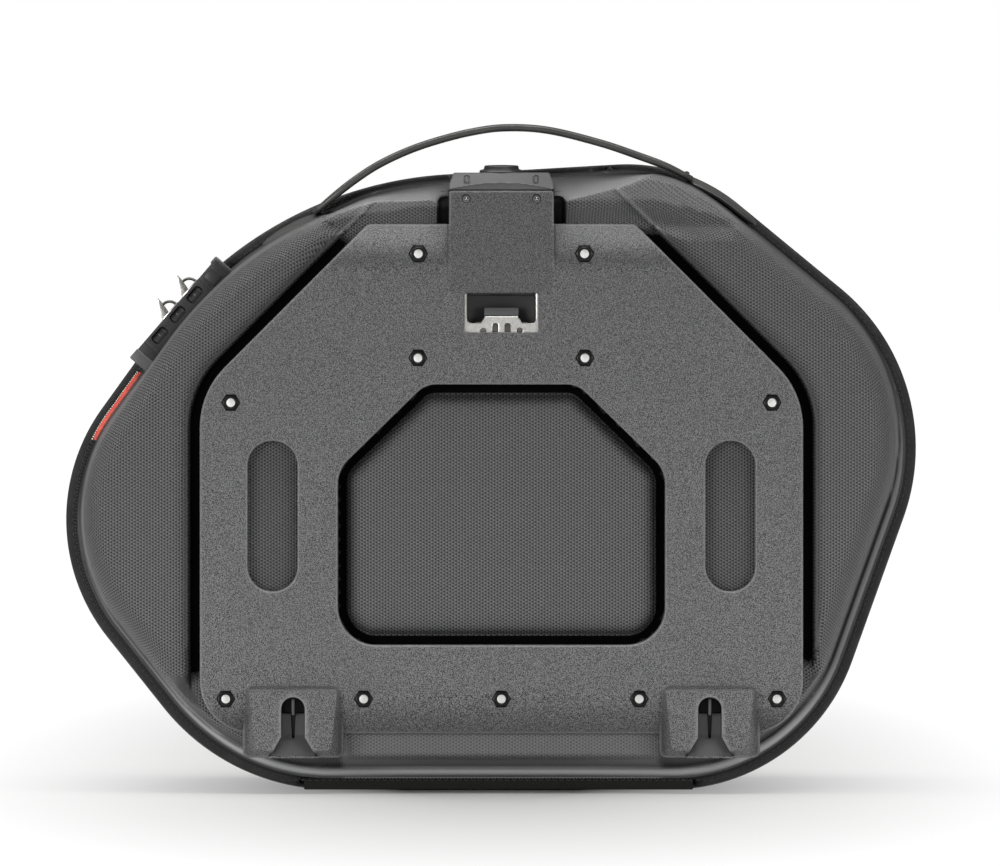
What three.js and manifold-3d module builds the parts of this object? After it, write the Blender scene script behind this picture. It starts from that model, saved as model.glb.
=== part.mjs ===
// Semi-rigid clamshell saddlebag for a motorcycle, in millimetres, +Z up.
// The bag stands on its base at z = 0. Its mounting side faces -Y and its outer cover faces +Y.
// The two halves meet at the zip plane and are hinged along the base.
import * as THREE from "three";
import { mergeVertices } from "three/addons/utils/BufferGeometryUtils.js";
import Module from "manifold-3d";

const wasm = await Module();
wasm.setup();

// ---------------------------------------------------------------- driving dimensions
const ZIP_Y = -46; // plane where the two halves meet
const FRONT_Y = 107.5; // crown of the outer cover
const PLATE_Y = -102.5; // outer face of the mounting plate
const SOCKET_Y = -107.5; // rearmost face, on the hook sockets
const BED_Y = -88; // shell surface that the mounting plate is bolted to
const WING_Y = -98.5; // raised wings of the rear shell, beside the plate
const WALL = 4; // thermoformed foam shell
const SHEET = 3; // moulded wall of the mounting plate
const GAP = 0.3; // clearance between pieces that touch
const PLATE_X = 5.5; // centre line of the mounting plate
const ARC_STEP = THREE.MathUtils.degToRad(9); // facet of a corner over 60 mm radius
const SMALL_ARC_STEPS = 4; // facets of any smaller corner

// Corners are [x, z, radius], counter-clockwise as seen from the mounting side.
const BAG = [
  [-139, 0, 115],
  [167, 0, 102],
  [244.5, 216.5, 109],
  [103, 333, 93],
  [-121, 320, 205],
  [-250.5, 140, 100],
];
const PLATE = [
  [-158.7, 31, 28],
  [158.7, 31, 28],
  [158.7, 211, 45],
  [70.3, 299.5, 5],
  [-70.3, 299.5, 5],
  [-158.7, 211, 45],
];
const WINDOW = [
  [-86, 78, 20],
  [86, 78, 20],
  [86, 170, 18],
  [40, 215, 14],
  [-40, 215, 14],
  [-86, 170, 18],
];
// The bed of the plate runs out through the top and the bottom of the rear shell.
const BED_SIDE = 8; // groove between the plate and the wings
const BED = [
  [-158.7, -60, 5],
  [158.7, -60, 5],
  [158.7, 211, 45],
  [9.7, 360, 3],
  [-9.7, 360, 3],
  [-158.7, 211, 45],
];
const SHOULDER_RISE = 2.5; // the raised part of the rear shell sits this much above centre
const BOSS_INSET = 7.8; // groove between the window's edge and the shell's centre boss
const BOSS_Y = -99;
const SLOT = { x: 120.4, z: 145.8, width: 26, length: 79 };
const BOLTS = [
  ...[-1, 1].flatMap((s) => [
    [s * 43.7, 283.8],
    [s * 43.9, 229],
    [s * 142.3, 205.5],
  ]),
  ...[-2, -1, 0, 1, 2].map((i) => [i * 72.5, 49.6]),
];
const BASE_LEFT = -99; // ends of the woven hinge strip along the base
const BASE_RIGHT = 107;
const BAND = 6; // width of the zip tape, and inset of the shell's rim from the outline
const HOUSING = { half: 27.6, foot: 255, top: 317.1, back: -66 };
const BUTTON = { y: -82, flange: 12.1, cap: 8.8, stem: 4, foot: 313.8, top: 331 };
const LATCH = { half: 19.4, low: 242.3, high: 263 };
const SOCKET = { x: 109.6, low: 18.5, high: 59 };
const HANDLE = { y: -62, width: 22, thick: 4, pivot: 331, swing: 25 };

// ---------------------------------------------------------------- solids and booleans
function solid(geometry) {
  const bare = geometry.index ? geometry.toNonIndexed() : geometry.clone();
  for (const name of Object.keys(bare.attributes)) {
    if (name !== "position") bare.deleteAttribute(name);
  }
  const merged = mergeVertices(bare, 1e-4);
  return new wasm.Manifold(
    new wasm.Mesh({
      numProp: 3,
      vertProperties: new Float32Array(merged.attributes.position.array),
      triVerts: new Uint32Array(merged.index.array),
    }),
  );
}

function geometryOf(manifold) {
  const mesh = manifold.getMesh();
  const geometry = new THREE.BufferGeometry();
  geometry.setAttribute("position", new THREE.BufferAttribute(mesh.vertProperties, 3));
  geometry.setIndex(new THREE.BufferAttribute(mesh.triVerts, 1));
  geometry.computeVertexNormals();
  return geometry;
}

const join = (...solids) => solids.reduce((a, b) => a.add(b));
const cut = (body, ...tools) => tools.reduce((a, b) => a.subtract(b), body);

function box(x0, x1, y0, y1, z0, z1) {
  const geometry = new THREE.BoxGeometry(x1 - x0, y1 - y0, z1 - z0);
  geometry.translate((x0 + x1) / 2, (y0 + y1) / 2, (z0 + z1) / 2);
  return solid(geometry);
}

// A round bar from one point to another; sides is 6 for a hexagon with two corners on +X and -X.
function rod(from, to, radius, sides = 16, endRadius = radius) {
  const a = new THREE.Vector3(...from);
  const b = new THREE.Vector3(...to);
  const geometry = new THREE.CylinderGeometry(endRadius, radius, a.distanceTo(b), sides);
  geometry.rotateY(Math.PI / 2);
  const turn = new THREE.Quaternion().setFromUnitVectors(
    new THREE.Vector3(0, 1, 0),
    b.clone().sub(a).normalize(),
  );
  geometry.applyQuaternion(turn);
  geometry.translate(...a.add(b).multiplyScalar(0.5).toArray());
  return solid(geometry);
}

// Extrudes points [x, z] along Y, from y0 to y1.
function prism(points, y0, y1) {
  const shape = new THREE.Shape(points.map(([x, z]) => new THREE.Vector2(x, z)));
  const geometry = new THREE.ExtrudeGeometry(shape, { depth: y1 - y0, bevelEnabled: false });
  geometry.rotateX(Math.PI / 2);
  geometry.translate(0, y1, 0);
  return solid(geometry);
}

// Extrudes points [y, z] along X, from x0 to x1.
function prismAlongX(points, x0, x1) {
  const shape = new THREE.Shape(points.map(([y, z]) => new THREE.Vector2(y, z)));
  const geometry = new THREE.ExtrudeGeometry(shape, { depth: x1 - x0, bevelEnabled: false });
  geometry.rotateX(Math.PI / 2);
  geometry.rotateZ(Math.PI / 2);
  geometry.translate(x0, 0, 0);
  return solid(geometry);
}

// ---------------------------------------------------------------- outlines
// The arc at each corner of a convex outline that is moved inwards by inset.
function cornerArcs(corners, inset) {
  const points = corners.map(([x, z]) => new THREE.Vector2(x, z));
  return corners.map(([, , radius], i) => {
    const here = points[i];
    const before = points.at(i - 1);
    const after = points[(i + 1) % points.length];
    const enter = here.clone().sub(before).normalize();
    const leave = after.clone().sub(here).normalize();
    const turn = Math.acos(THREE.MathUtils.clamp(enter.dot(leave), -1, 1));
    const inward = leave.clone().sub(enter).normalize();
    const centre = here.clone().addScaledVector(inward, radius / Math.cos(turn / 2));
    const start = Math.atan2(-enter.x, enter.y);
    if (radius > inset) return { centre, radius: radius - inset, start, turn };
    const shift = (inset - radius + 0.5) / Math.cos(turn / 2);
    return { centre: centre.addScaledVector(inward, shift), radius: 0.5, start, turn };
  });
}

// Points [x, z] round an outline. Every inset of one outline has the same number of points.
function loop(corners, inset = 0, shiftX = 0, shiftZ = 0) {
  return cornerArcs(corners, inset).flatMap(({ centre, radius, start, turn }, i) => {
    const steps = corners[i][2] < 60 ? SMALL_ARC_STEPS : Math.max(2, Math.round(turn / ARC_STEP));
    return Array.from({ length: steps + 1 }, (_, k) => {
      const angle = start + (turn * k) / steps + Math.PI;
      return [
        centre.x - radius * Math.cos(angle) + shiftX,
        centre.y - radius * Math.sin(angle) + shiftZ,
      ];
    });
  });
}

// A closed solid through rings of equal length, each { points, y }, from low y to high y.
function loft(rings) {
  const count = rings[0].points.length;
  const positions = rings.flatMap(({ points, y }) => points.flatMap(([x, z]) => [x, y, z]));
  const index = [];
  for (let r = 0; r + 1 < rings.length; r++) {
    for (let i = 0; i < count; i++) {
      const a = r * count + i;
      const b = r * count + ((i + 1) % count);
      index.push(a, b + count, b, a, a + count, b + count);
    }
  }
  const cap = (ring, base, flip) => {
    const flat = ring.points.map(([x, z]) => new THREE.Vector2(x, z));
    for (const [a, b, c] of THREE.ShapeUtils.triangulateShape(flat, [])) {
      index.push(base + a, base + (flip ? c : b), base + (flip ? b : c));
    }
  };
  cap(rings[0], 0, false);
  cap(rings.at(-1), (rings.length - 1) * count, true);
  const geometry = new THREE.BufferGeometry();
  geometry.setAttribute("position", new THREE.Float32BufferAttribute(positions, 3));
  geometry.setIndex(index);
  return solid(geometry);
}

const bagRing = (inset, y, shiftZ = 0) => ({ points: loop(BAG, inset, 0, shiftZ), y });
const plateLoop = (corners, inset) => loop(corners, inset, PLATE_X);

function roundSlot(x, z, width, length, y0, y1) {
  const h = width / 2;
  const reach = length / 2;
  const corners = [
    [-h, -reach, h - 0.01],
    [h, -reach, h - 0.01],
    [h, reach, h - 0.01],
    [-h, reach, h - 0.01],
  ];
  return prism(loop(corners, 0, x, z), y0, y1);
}

// ---------------------------------------------------------------- places on the bag's edge
// The lock and sliders sit on the large upper-left arc: u runs along the edge, n points outwards.
const LOCK_ARC = cornerArcs(BAG, 0)[4];
const LOCK_TURN = THREE.MathUtils.degToRad(49.3);
const lockOrigin = LOCK_ARC.centre
  .clone()
  .add(new THREE.Vector2(-Math.sin(LOCK_TURN), Math.cos(LOCK_TURN)).multiplyScalar(LOCK_ARC.radius));

function onEdge(body) {
  const degrees = -THREE.MathUtils.radToDeg(LOCK_TURN);
  return body.rotate([0, degrees, 0]).translate([lockOrigin.x, 0, lockOrigin.y]);
}

// A rod along Y at the place of every plate bolt.
const atBolts = (y0, y1, radius, sides) =>
  BOLTS.map(([x, z]) => rod([PLATE_X + x, y0, z], [PLATE_X + x, y1, z], radius, sides));

// ---------------------------------------------------------------- rear half
// The combination lock's block: a wide front over the shoulder, and a narrow rear beside the rim.
function lockBlock(margin) {
  return join(
    box(-35.5 - margin, 35.5 + margin, -72, -56 + margin, -11.6 - margin, 2.2),
    box(-35.5 - margin, 35.5 + margin, -57, -51, -5 - margin, 2.2),
  );
}

const lockRecess = () => onEdge(join(lockBlock(0.5), box(-36, 36, -90, -72, -12.1, 2.2)));

function rearShell() {
  const outer = loft(
    [
      [30, WING_Y, SHOULDER_RISE],
      [23, -95.5, SHOULDER_RISE],
      [18.5, -88, SHOULDER_RISE],
      [16.5, -64, SHOULDER_RISE],
      [14, -60, SHOULDER_RISE],
      [10, -59, SHOULDER_RISE / 2],
      [6.5, -56, 0],
      [6, -50.3, 0],
    ].map(([inset, y, rise]) => bagRing(inset, y, rise)),
  );
  const recess = prism(plateLoop(BED, -BED_SIDE), -120, BED_Y);
  const lockNotch = box(PLATE_X - 35, PLATE_X + 35, -120, -64, 295.5, 340);
  const boss = prism(plateLoop(WINDOW, BOSS_INSET), BOSS_Y, BED_Y + 1);
  const pads = [-1, 1].map((s) =>
    roundSlot(PLATE_X + s * SLOT.x, SLOT.z, SLOT.width - 7, SLOT.length - 7, -96, BED_Y + 1),
  );
  const inside = loft(
    [
      [34, WING_Y + WALL],
      [27, -91.5],
      [22.5, -85.5],
      [20.5, -63],
      [18, -55.5],
      [12, -54],
      [12, -45],
    ].map(([inset, y], i) => bagRing(inset, y, i < 5 ? SHOULDER_RISE : 0)),
  );
  const keep = join(
    prism(plateLoop(BED, -BED_SIDE - WALL), -120, BED_Y + WALL),
    box(PLATE_X - 35 - WALL, PLATE_X + 35 + WALL, -120, -64 + WALL, 295.5 - WALL, 340),
  );
  const bossInside = prism(plateLoop(WINDOW, BOSS_INSET + WALL), BOSS_Y + WALL, BED_Y + WALL + 1);
  const formed = cut(outer, recess, lockNotch);
  const holes = atBolts(-90, -80, 2.8, 6);
  const headRoom = atBolts(-83.9, -74, 4.4, 8);
  return cut(
    join(formed, boss, ...pads),
    cut(inside, keep),
    bossInside,
    lockRecess(),
    ...holes,
    ...headRoom,
  );
}

const PLATE_SIDE = [
  [BED_Y - GAP, 31],
  [BED_Y - GAP, 299.5],
  [-90.5, 299.5],
  [-97.3, 293],
  [-101.2, 285],
  [PLATE_Y, 275],
  [PLATE_Y, 52],
  [-101.3, 43],
  [-98.5, 36],
  [-94.5, 31],
];
const PLATE_HOLLOW = [
  [BED_Y + 1, 34],
  [BED_Y + 1, 296.5],
  [-89.5, 296.5],
  [-94.8, 291],
  [-98.3, 284],
  [PLATE_Y + SHEET, 275],
  [PLATE_Y + SHEET, 52],
  [-98.6, 44],
  [-96.6, 38],
  [-93.5, 34],
];

function socketBlock(side) {
  const trapezoid = (low, high, z0, z1, radius) => [
    [-low, z0, radius],
    [low, z0, radius],
    [high, z1, radius],
    [-high, z1, radius],
  ];
  const x = PLATE_X + side * SOCKET.x;
  return loft([
    { points: loop(trapezoid(19.8, 23, 22.7, 55.5, 3), 0, x), y: SOCKET_Y },
    { points: loop(trapezoid(26.4, 26.4, SOCKET.low, SOCKET.high, 4), 0, x), y: -99 },
    { points: loop(trapezoid(26.8, 26.8, SOCKET.low, SOCKET.high, 4), 0, x), y: BED_Y - GAP },
  ]);
}

// The keyhole that a carrier pin rises into: a round-topped slot with a flared mouth.
function socketMouth(side, inset, y0, y1) {
  const half = 6.15 - inset;
  const top = 44.5;
  const arch = Array.from({ length: 9 }, (_, k) => {
    const a = (Math.PI * k) / 8;
    return [half * Math.cos(a), top + half * Math.sin(a)];
  });
  const low = inset ? SOCKET.low + inset : 5;
  const flare = 12.15 - inset;
  const points = [[-half, 29.6], [-flare, 19.5], [-flare, low], [flare, low], [flare, 19.5], [half, 29.6]];
  const x = PLATE_X + side * SOCKET.x;
  return prism([...points, ...arch].map(([px, pz]) => [px + x, pz]), y0, y1);
}

function mountingPlate() {
  const slab = prismAlongX(PLATE_SIDE, -160, 170).intersect(prism(plateLoop(PLATE, 0), -120, -80));
  const column = join(
    box(PLATE_X - HOUSING.half, PLATE_X + HOUSING.half, PLATE_Y, BED_Y - GAP, HOUSING.foot, 298),
    box(PLATE_X - HOUSING.half, PLATE_X + HOUSING.half, PLATE_Y, HOUSING.back, 297, HOUSING.top),
  );
  const sockets = [-1, 1].map(socketBlock);
  const hollow = prismAlongX(PLATE_HOLLOW, -160, 170).intersect(prism(plateLoop(PLATE, SHEET), -120, -80));
  const slots = (grow, y0, y1) =>
    [-1, 1].map((s) =>
      roundSlot(PLATE_X + s * SLOT.x, SLOT.z, SLOT.width + grow, SLOT.length + grow, y0, y1),
    );
  const pillars = atBolts(-110, -80, 7, 6);
  const kept = [prism(plateLoop(WINDOW, -SHEET), -110, -80), ...slots(5, -110, -80), ...pillars, ...sockets];
  const columnHollow = box(
    PLATE_X - HOUSING.half + SHEET,
    PLATE_X + HOUSING.half - SHEET,
    PLATE_Y + SHEET,
    HOUSING.back - SHEET,
    299,
    HOUSING.top + 1,
  );
  const columnThroat = box(PLATE_X - 24.6, PLATE_X + 24.6, PLATE_Y + SHEET, BED_Y + 1, 262, 300);
  const latchWindow = box(
    PLATE_X - LATCH.half,
    PLATE_X + LATCH.half,
    -110,
    PLATE_Y + SHEET + 1,
    LATCH.low,
    LATCH.high,
  );
  const mouths = [-1, 1].map((s) => socketMouth(s, 0, -110, -94));
  const screwHoles = [-1, 1].map((s) =>
    rod([PLATE_X + s * 18.5, -110, 312.8], [PLATE_X + s * 18.5, -98, 312.8], 2.4, 8),
  );
  return cut(
    join(slab, column, ...sockets),
    cut(hollow, ...kept),
    prism(plateLoop(WINDOW, 0), -110, -80),
    ...slots(0, -110, -80),
    columnHollow,
    columnThroat,
    latchWindow,
    ...atBolts(-110, -80, 2.8, 8),
    ...atBolts(-110, -97.6, 4.95, 6),
    ...mouths,
    ...screwHoles,
  );
}

function hookInsert(side) {
  const x = PLATE_X + side * SOCKET.x;
  const floor = socketMouth(side, GAP, -96.8, -94.3);
  const key = box(x - 1.3, x + 1.3, -100, -90, 29.6, 42);
  const fin = box(x - 0.7, x + 0.7, -103, -96, 42.5, 49);
  return join(cut(floor, key), fin);
}

function nut([x, z]) {
  const body = rod([PLATE_X + x, -101.4, z], [PLATE_X + x, -97.9, z], 4.6, 6);
  const collar = rod([PLATE_X + x, -102.2, z], [PLATE_X + x, -101.3, z], 3.5, 8);
  return cut(join(body, collar), rod([PLATE_X + x, -104, z], [PLATE_X + x, -95, z], 2.8, 8));
}

function bolt([x, z]) {
  const head = rod([PLATE_X + x, -81.4, z], [PLATE_X + x, -78.9, z], 4, 8, 2.8);
  return join(head, rod([PLATE_X + x, -102.4, z], [PLATE_X + x, -81, z], 2.4, 8));
}

function backingPlate() {
  const sheet = prism(plateLoop(PLATE, 6).map(([x, z]) => [x, Math.min(z, 289)]), -83.7, -81.7);
  const inShell = sheet.intersect(prism(loop(BAG, 25.5), -90, -70));
  return cut(inShell, prism(plateLoop(WINDOW, BOSS_INSET - 4), -90, -70), ...atBolts(-90, -75, 2.8, 6));
}

// ---------------------------------------------------------------- release lock and latch
function lockCap() {
  const side = [
    [HOUSING.back, HOUSING.top + GAP],
    [HOUSING.back, 325],
    [-68, 326.7],
    [-92, 326.7],
    [-98.5, 323.5],
    [PLATE_Y, HOUSING.top + GAP],
  ];
  const front = [[-27.6, 300], [27.6, 300], [27.6, 318.5], [25.4, 330], [-25.4, 330], [-27.6, 318.5]];
  const body = prismAlongX(side, PLATE_X - 28, PLATE_X + 28).intersect(
    prism(front.map(([x, z]) => [x + PLATE_X, z]), -120, -50),
  );
  const seat = rod([PLATE_X, BUTTON.y, 321.4], [PLATE_X, BUTTON.y, 340], BUTTON.flange + 0.5, 32);
  return cut(body, seat, rod([PLATE_X, BUTTON.y, 310], [PLATE_X, BUTTON.y, 330], BUTTON.stem + GAP, 16));
}

function lockButton() {
  const at = (z) => [PLATE_X, BUTTON.y, z];
  const body = join(
    rod(at(BUTTON.foot), at(327.5), BUTTON.stem, 12),
    rod(at(326.9), at(329), BUTTON.flange, 24, BUTTON.flange - 1),
    rod(at(328.9), at(BUTTON.top), BUTTON.cap, 24, BUTTON.cap - 0.6),
  );
  return cut(body, rod(at(328.2), at(335), 5.2, 16));
}

function keyCylinder() {
  const at = (z) => [PLATE_X, BUTTON.y, z];
  const slot = box(PLATE_X - 3.4, PLATE_X + 3.4, BUTTON.y - 0.7, BUTTON.y + 0.7, 329.6, 335);
  return cut(rod(at(328.5), at(331.3), 4.9, 16), slot);
}

function latchPushrod() {
  return join(
    box(PLATE_X - 7, PLATE_X + 7, -97.3, BUTTON.y + 5, 311, 313.5),
    box(PLATE_X - 5, PLATE_X + 5, -97.3, -95.3, 264, 312),
  );
}

function latchPlate() {
  const ring = cut(
    box(PLATE_X - 21.5, PLATE_X + 21.5, -99.2, -97.7, 237.5, 268),
    box(PLATE_X - 18.2, PLATE_X + 18.2, -105, -90, 246.6, 263.3),
  );
  const tongue = prism(
    [[-9.3, 246], [9.3, 246], [8.9, 251.5], [-8.9, 251.5]].map(([x, z]) => [x + PLATE_X, z]),
    -99.2,
    -97.7,
  );
  const lip = prismAlongX([[-99, 250.2], [-97.7, 250], [-93, 254.5], [-94, 255.6]], PLATE_X - 8.9, PLATE_X + 8.9);
  const windows = [-3.2, 3.2].map((x) => box(PLATE_X + x - 1.6, PLATE_X + x + 1.6, -105, -90, 243.5, 249));
  return cut(join(ring, tongue, lip), ...windows);
}

function latchPocket() {
  const cup = box(PLATE_X - 19, PLATE_X + 19, -97.2, BED_Y - 0.8, 240.2, 263.2);
  const inside = box(PLATE_X - 17.7, PLATE_X + 17.7, -100, BED_Y - 2, 241.5, 262);
  const rodGap = box(PLATE_X - 5.6, PLATE_X + 5.6, -100, -94.7, 258, 270);
  return cut(cup, inside, rodGap);
}

function latchSpring() {
  class Helix extends THREE.Curve {
    getPoint(t, target = new THREE.Vector3()) {
      const a = 2 * Math.PI * 4 * t;
      return target.set(PLATE_X + 4.2 * Math.cos(a), BUTTON.y + 4.2 * Math.sin(a), 300 + 10 * t);
    }
  }
  const wire = new THREE.Shape(new THREE.EllipseCurve(0, 0, 0.5, 0.5).getPoints(5).slice(0, 5));
  return solid(
    new THREE.ExtrudeGeometry(wire, { steps: 32, bevelEnabled: false, extrudePath: new Helix() }),
  );
}

function capScrew(side) {
  const x = PLATE_X + side * 18.5;
  const head = rod([x, -102.2, 312.8], [x, -100.4, 312.8], 2.1, 14);
  const shank = rod([x, -100.8, 312.8], [x, -98.4, 312.8], 1.2, 10);
  return cut(join(head, shank), rod([x, -103, 312.8], [x, -101.4, 312.8], 1, 6));
}

// ---------------------------------------------------------------- zip, base hinge and trim
function band(inset0, inset1, y0, y1) {
  return cut(
    prism(loop(BAG, inset0), y0, y1),
    prism(loop(BAG, inset1), y0 - 1, y1 + 1),
  );
}

const baseZone = (margin) => box(BASE_LEFT - margin, BASE_RIGHT + margin, -200, 200, -5, 20);
const zipTape = (y0, y1) => cut(band(0, BAND - GAP, y0, y1), baseZone(GAP));

function baseStrip(y0, y1) {
  return box(BASE_LEFT, BASE_RIGHT, y0, y1, 0, BAND - GAP);
}

// The part of a band between two heights, on the left or right of the bag.
function bandPiece(inset0, inset1, y0, y1, x0, x1, z0, z1) {
  return band(inset0, inset1, y0, y1).intersect(box(x0, x1, -200, 200, z0, z1));
}

function sideGusset(side) {
  const reach = side < 0 ? [-240, -100] : [110, 240];
  return bandPiece(12, 14, -53, -20, reach[0], reach[1], 25, 215);
}

// ---------------------------------------------------------------- combination lock and sliders
const DIALS = [-15.8, -1.3, 12.5];
const DIAL = { y: -66.8, n: -4.6, radius: 5.4, half: 4.4 };

function lockBody() {
  const wells = DIALS.map((u) => box(u - 4.8, u + 4.8, -80, DIAL.y + 5.8, DIAL.n - 5.8, DIAL.n + 5.8));
  const axle = rod([-22.3, DIAL.y, DIAL.n], [19.3, DIAL.y, DIAL.n], 1.6, 8);
  const release = box(22, 34.5, -80, -69, -8.6, 0.2);
  const step = box(-45, -31, -80, -70.4, -15, 5);
  return onEdge(cut(lockBlock(0), ...wells, axle, release, step));
}

function lockDial(u) {
  const at = (along) => [u + along, DIAL.y, DIAL.n];
  return onEdge(cut(rod(at(-DIAL.half), at(DIAL.half), DIAL.radius, 16), rod(at(-9), at(9), 1.7, 8)));
}

const dialAxle = () => onEdge(rod([-22, DIAL.y, DIAL.n], [19, DIAL.y, DIAL.n], 1.3, 8));
const lockRelease = () => onEdge(box(22.6, 29.5, -72.7, -69.3, -8, -0.4));

const SLIDERS = { lower: -2.9, upper: 13.1 };
const PULL_RING = { n: 1.6, outer: 5.4, inner: 4.3 };
const PULLER = { reach: 2, n: 3.7, length: 8.2, lean: 15 };

// The slider rides on the band, and its ring carries the puller.
function zipSlider(u) {
  const body = box(u - 6, u + 6, -50, -42, 0.8, 1.75);
  const arch = rod([u, -47, PULL_RING.n], [u, -45, PULL_RING.n], PULL_RING.outer, 18);
  const eye = rod([u, -50, PULL_RING.n], [u, -40, PULL_RING.n], PULL_RING.inner, 18);
  return onEdge(join(body, cut(arch, eye, box(u - 9, u + 9, -50, -40, -10, 1.2))));
}

// A fork that straddles the ring, with a cross bar under it.
function zipPuller(u) {
  const half = [[1.6, -0.8], [1.7, 5.4], [1, 7.4], [0.4, PULLER.length]];
  const mirror = half.map(([x, z]) => [-x, z]).reverse();
  const fork = cut(prism([...half, ...mirror], -48.9, -43.1), box(-3, 3, -47.4, -44.6, -2, 5.2));
  const bar = rod([0, -48, 0], [0, -44, 0], 0.7, 8);
  return onEdge(join(fork, bar).rotate([0, PULLER.lean, 0]).translate([u - PULLER.reach, 0, PULLER.n]));
}

// ---------------------------------------------------------------- carry handle
const HANDLE_LINE = new THREE.CatmullRomCurve3(
  [
    [-98, 305.8],
    [-86, 313],
    [-68, 325.5],
    [-37.5, 343.3],
    [7.4, 350.2],
    [57.6, 342.8],
    [92, 330],
    [103, 325],
    [114, 320],
  ].map(([x, z]) => new THREE.Vector3(x, 0, z)),
);

function handleStrap() {
  const side = (sign) =>
    Array.from({ length: 25 }, (_, k) => {
      const p = HANDLE_LINE.getPoint(k / 24);
      const t = HANDLE_LINE.getTangent(k / 24);
      return [p.x - (sign * t.z * HANDLE.thick) / 2, p.z + (sign * t.x * HANDLE.thick) / 2];
    });
  return prism(
    [...side(-1), ...side(1).reverse()],
    HANDLE.y - HANDLE.width / 2,
    HANDLE.y + HANDLE.width / 2,
  );
}

// The arch that swings is cut back by its swing angle, so that it clears the sewn ends.
function carryHandle() {
  const rise = 40 * Math.tan(THREE.MathUtils.degToRad(HANDLE.swing + 2));
  const base = HANDLE.pivot + 0.6;
  const below = prismAlongX(
    [[HANDLE.y - 40, 250], [HANDLE.y + 40, 250], [HANDLE.y + 40, base + rise], [HANDLE.y, base], [HANDLE.y - 40, base + rise]],
    -200,
    200,
  );
  return cut(handleStrap(), below);
}

// A loft of bag rings that follows the rear shell's shoulder, lifted off it.
const shoulder = (lift) =>
  loft(
    [
      [17.3, -77, SHOULDER_RISE],
      [16.2, -66, SHOULDER_RISE],
      [13.7, -61.2, SHOULDER_RISE],
      [9.6, -60, SHOULDER_RISE / 2],
      [6.2, -57, 0],
      [5.8, -51, 0],
    ].map(([inset, y, rise]) => bagRing(inset - lift, y - lift / 4, rise)),
  );
const clearOfShoulder = (lift) => join(shoulder(lift), prism(loop(BAG, 5.8 - lift), -52, -40));

// The sewn end of the strap: its foot fills the shoulder down to the anchor patch.
function handleEnd(side) {
  const reach = side < 0 ? [-150, 20] : [20, 150];
  const foot = side < 0 ? [-98, -82] : [100, 114];
  const strap = handleStrap().intersect(box(reach[0], reach[1], -100, 0, 250, HANDLE.pivot));
  const block = prism(loop(BAG, -0.5), -70, -53).intersect(box(foot[0], foot[1], -100, 0, 250, 340));
  return cut(join(strap, block), clearOfShoulder(2.3));
}

function handleAnchor(side) {
  const reach = side < 0 ? [-125, -80] : [98, 138];
  const patch = cut(shoulder(2), clearOfShoulder(0));
  return patch.intersect(box(reach[0], reach[1], -76, -51.5, 250, 340));
}

// ---------------------------------------------------------------- outer cover
// Each ring keeps the base flat on the ground, until the cover turns up at its front edge.
function coverRings(grow, back) {
  return [
    [0.5, -41.7, 0],
    [0.5, -20, 0],
    [3, 20, 0],
    [9, 55, 0.5],
    [19, 80, 3],
    [33, 96, 11],
    [52, 104.5, 25],
    [70, FRONT_Y, 41],
  ].map(([inset, y, rise]) => bagRing(inset + grow, y - (y > -40 ? back : 0), rise - inset));
}

function coverShell() {
  const inside = coverRings(WALL, WALL);
  inside[0] = { ...inside[0], y: -50 };
  return cut(loft(coverRings(0, 0)), loft(inside));
}

// ---------------------------------------------------------------- materials and assembly
const finish = (color, roughness, metalness = 0) =>
  new THREE.MeshStandardMaterial({ color, roughness, metalness });
const EVA = finish(0x3a3a3b, 0.8);
const PLASTIC = finish(0x404041, 0.55);
const SMOOTH = finish(0x2c2c2d, 0.4);
const FABRIC = finish(0x1f1f1c, 0.9);
const STEEL = finish(0xcfccc4, 0.3, 1);
const BLACK_STEEL = finish(0x111111, 0.45, 1);
const RUBBER = finish(0x2a2a28, 0.6);
const RED = finish(0xc4352a, 0.5);

const bag = new THREE.Group();
bag.name = "saddlebag";

function put(name, body, material) {
  const mesh = new THREE.Mesh(geometryOf(body), material);
  mesh.name = name;
  bag.add(mesh);
}

const two = (n) => String(n + 1).padStart(2, "0");

put("rear_shell", rearShell(), EVA);
put("mounting_plate", mountingPlate(), PLASTIC);
BOLTS.forEach((place, i) => put(`plate_nut_${two(i)}`, nut(place), BLACK_STEEL));
BOLTS.forEach((place, i) => put(`plate_bolt_${two(i)}`, bolt(place), STEEL));
put("backing_plate", backingPlate(), SMOOTH);
put("hook_insert_left", hookInsert(-1), SMOOTH);
put("hook_insert_right", hookInsert(1), SMOOTH);

put("lock_cap", lockCap(), PLASTIC);
put("cap_screw_left", capScrew(-1), BLACK_STEEL);
put("cap_screw_right", capScrew(1), BLACK_STEEL);
put("lock_button", lockButton(), SMOOTH);
put("key_cylinder", keyCylinder(), STEEL);
put("latch_pushrod", latchPushrod(), STEEL);
put("latch_plate", latchPlate(), STEEL);
put("latch_pocket", latchPocket(), SMOOTH);
put("latch_spring", latchSpring(), STEEL);

put("zip_tape_rear", zipTape(-50, ZIP_Y - GAP), FABRIC);
put("zip_tape_cover", zipTape(ZIP_Y + GAP, -42), FABRIC);
put("base_strip_rear", baseStrip(-58, ZIP_Y - GAP), FABRIC);
put("base_strip_cover", baseStrip(ZIP_Y + GAP, -42), FABRIC);
put("red_tab", bandPiece(1.5, BAND - GAP, -54, -50.3, -240, -150, 186, 221), RED);
put("side_gusset_left", sideGusset(-1), FABRIC);
put("side_gusset_right", sideGusset(1), FABRIC);

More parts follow.
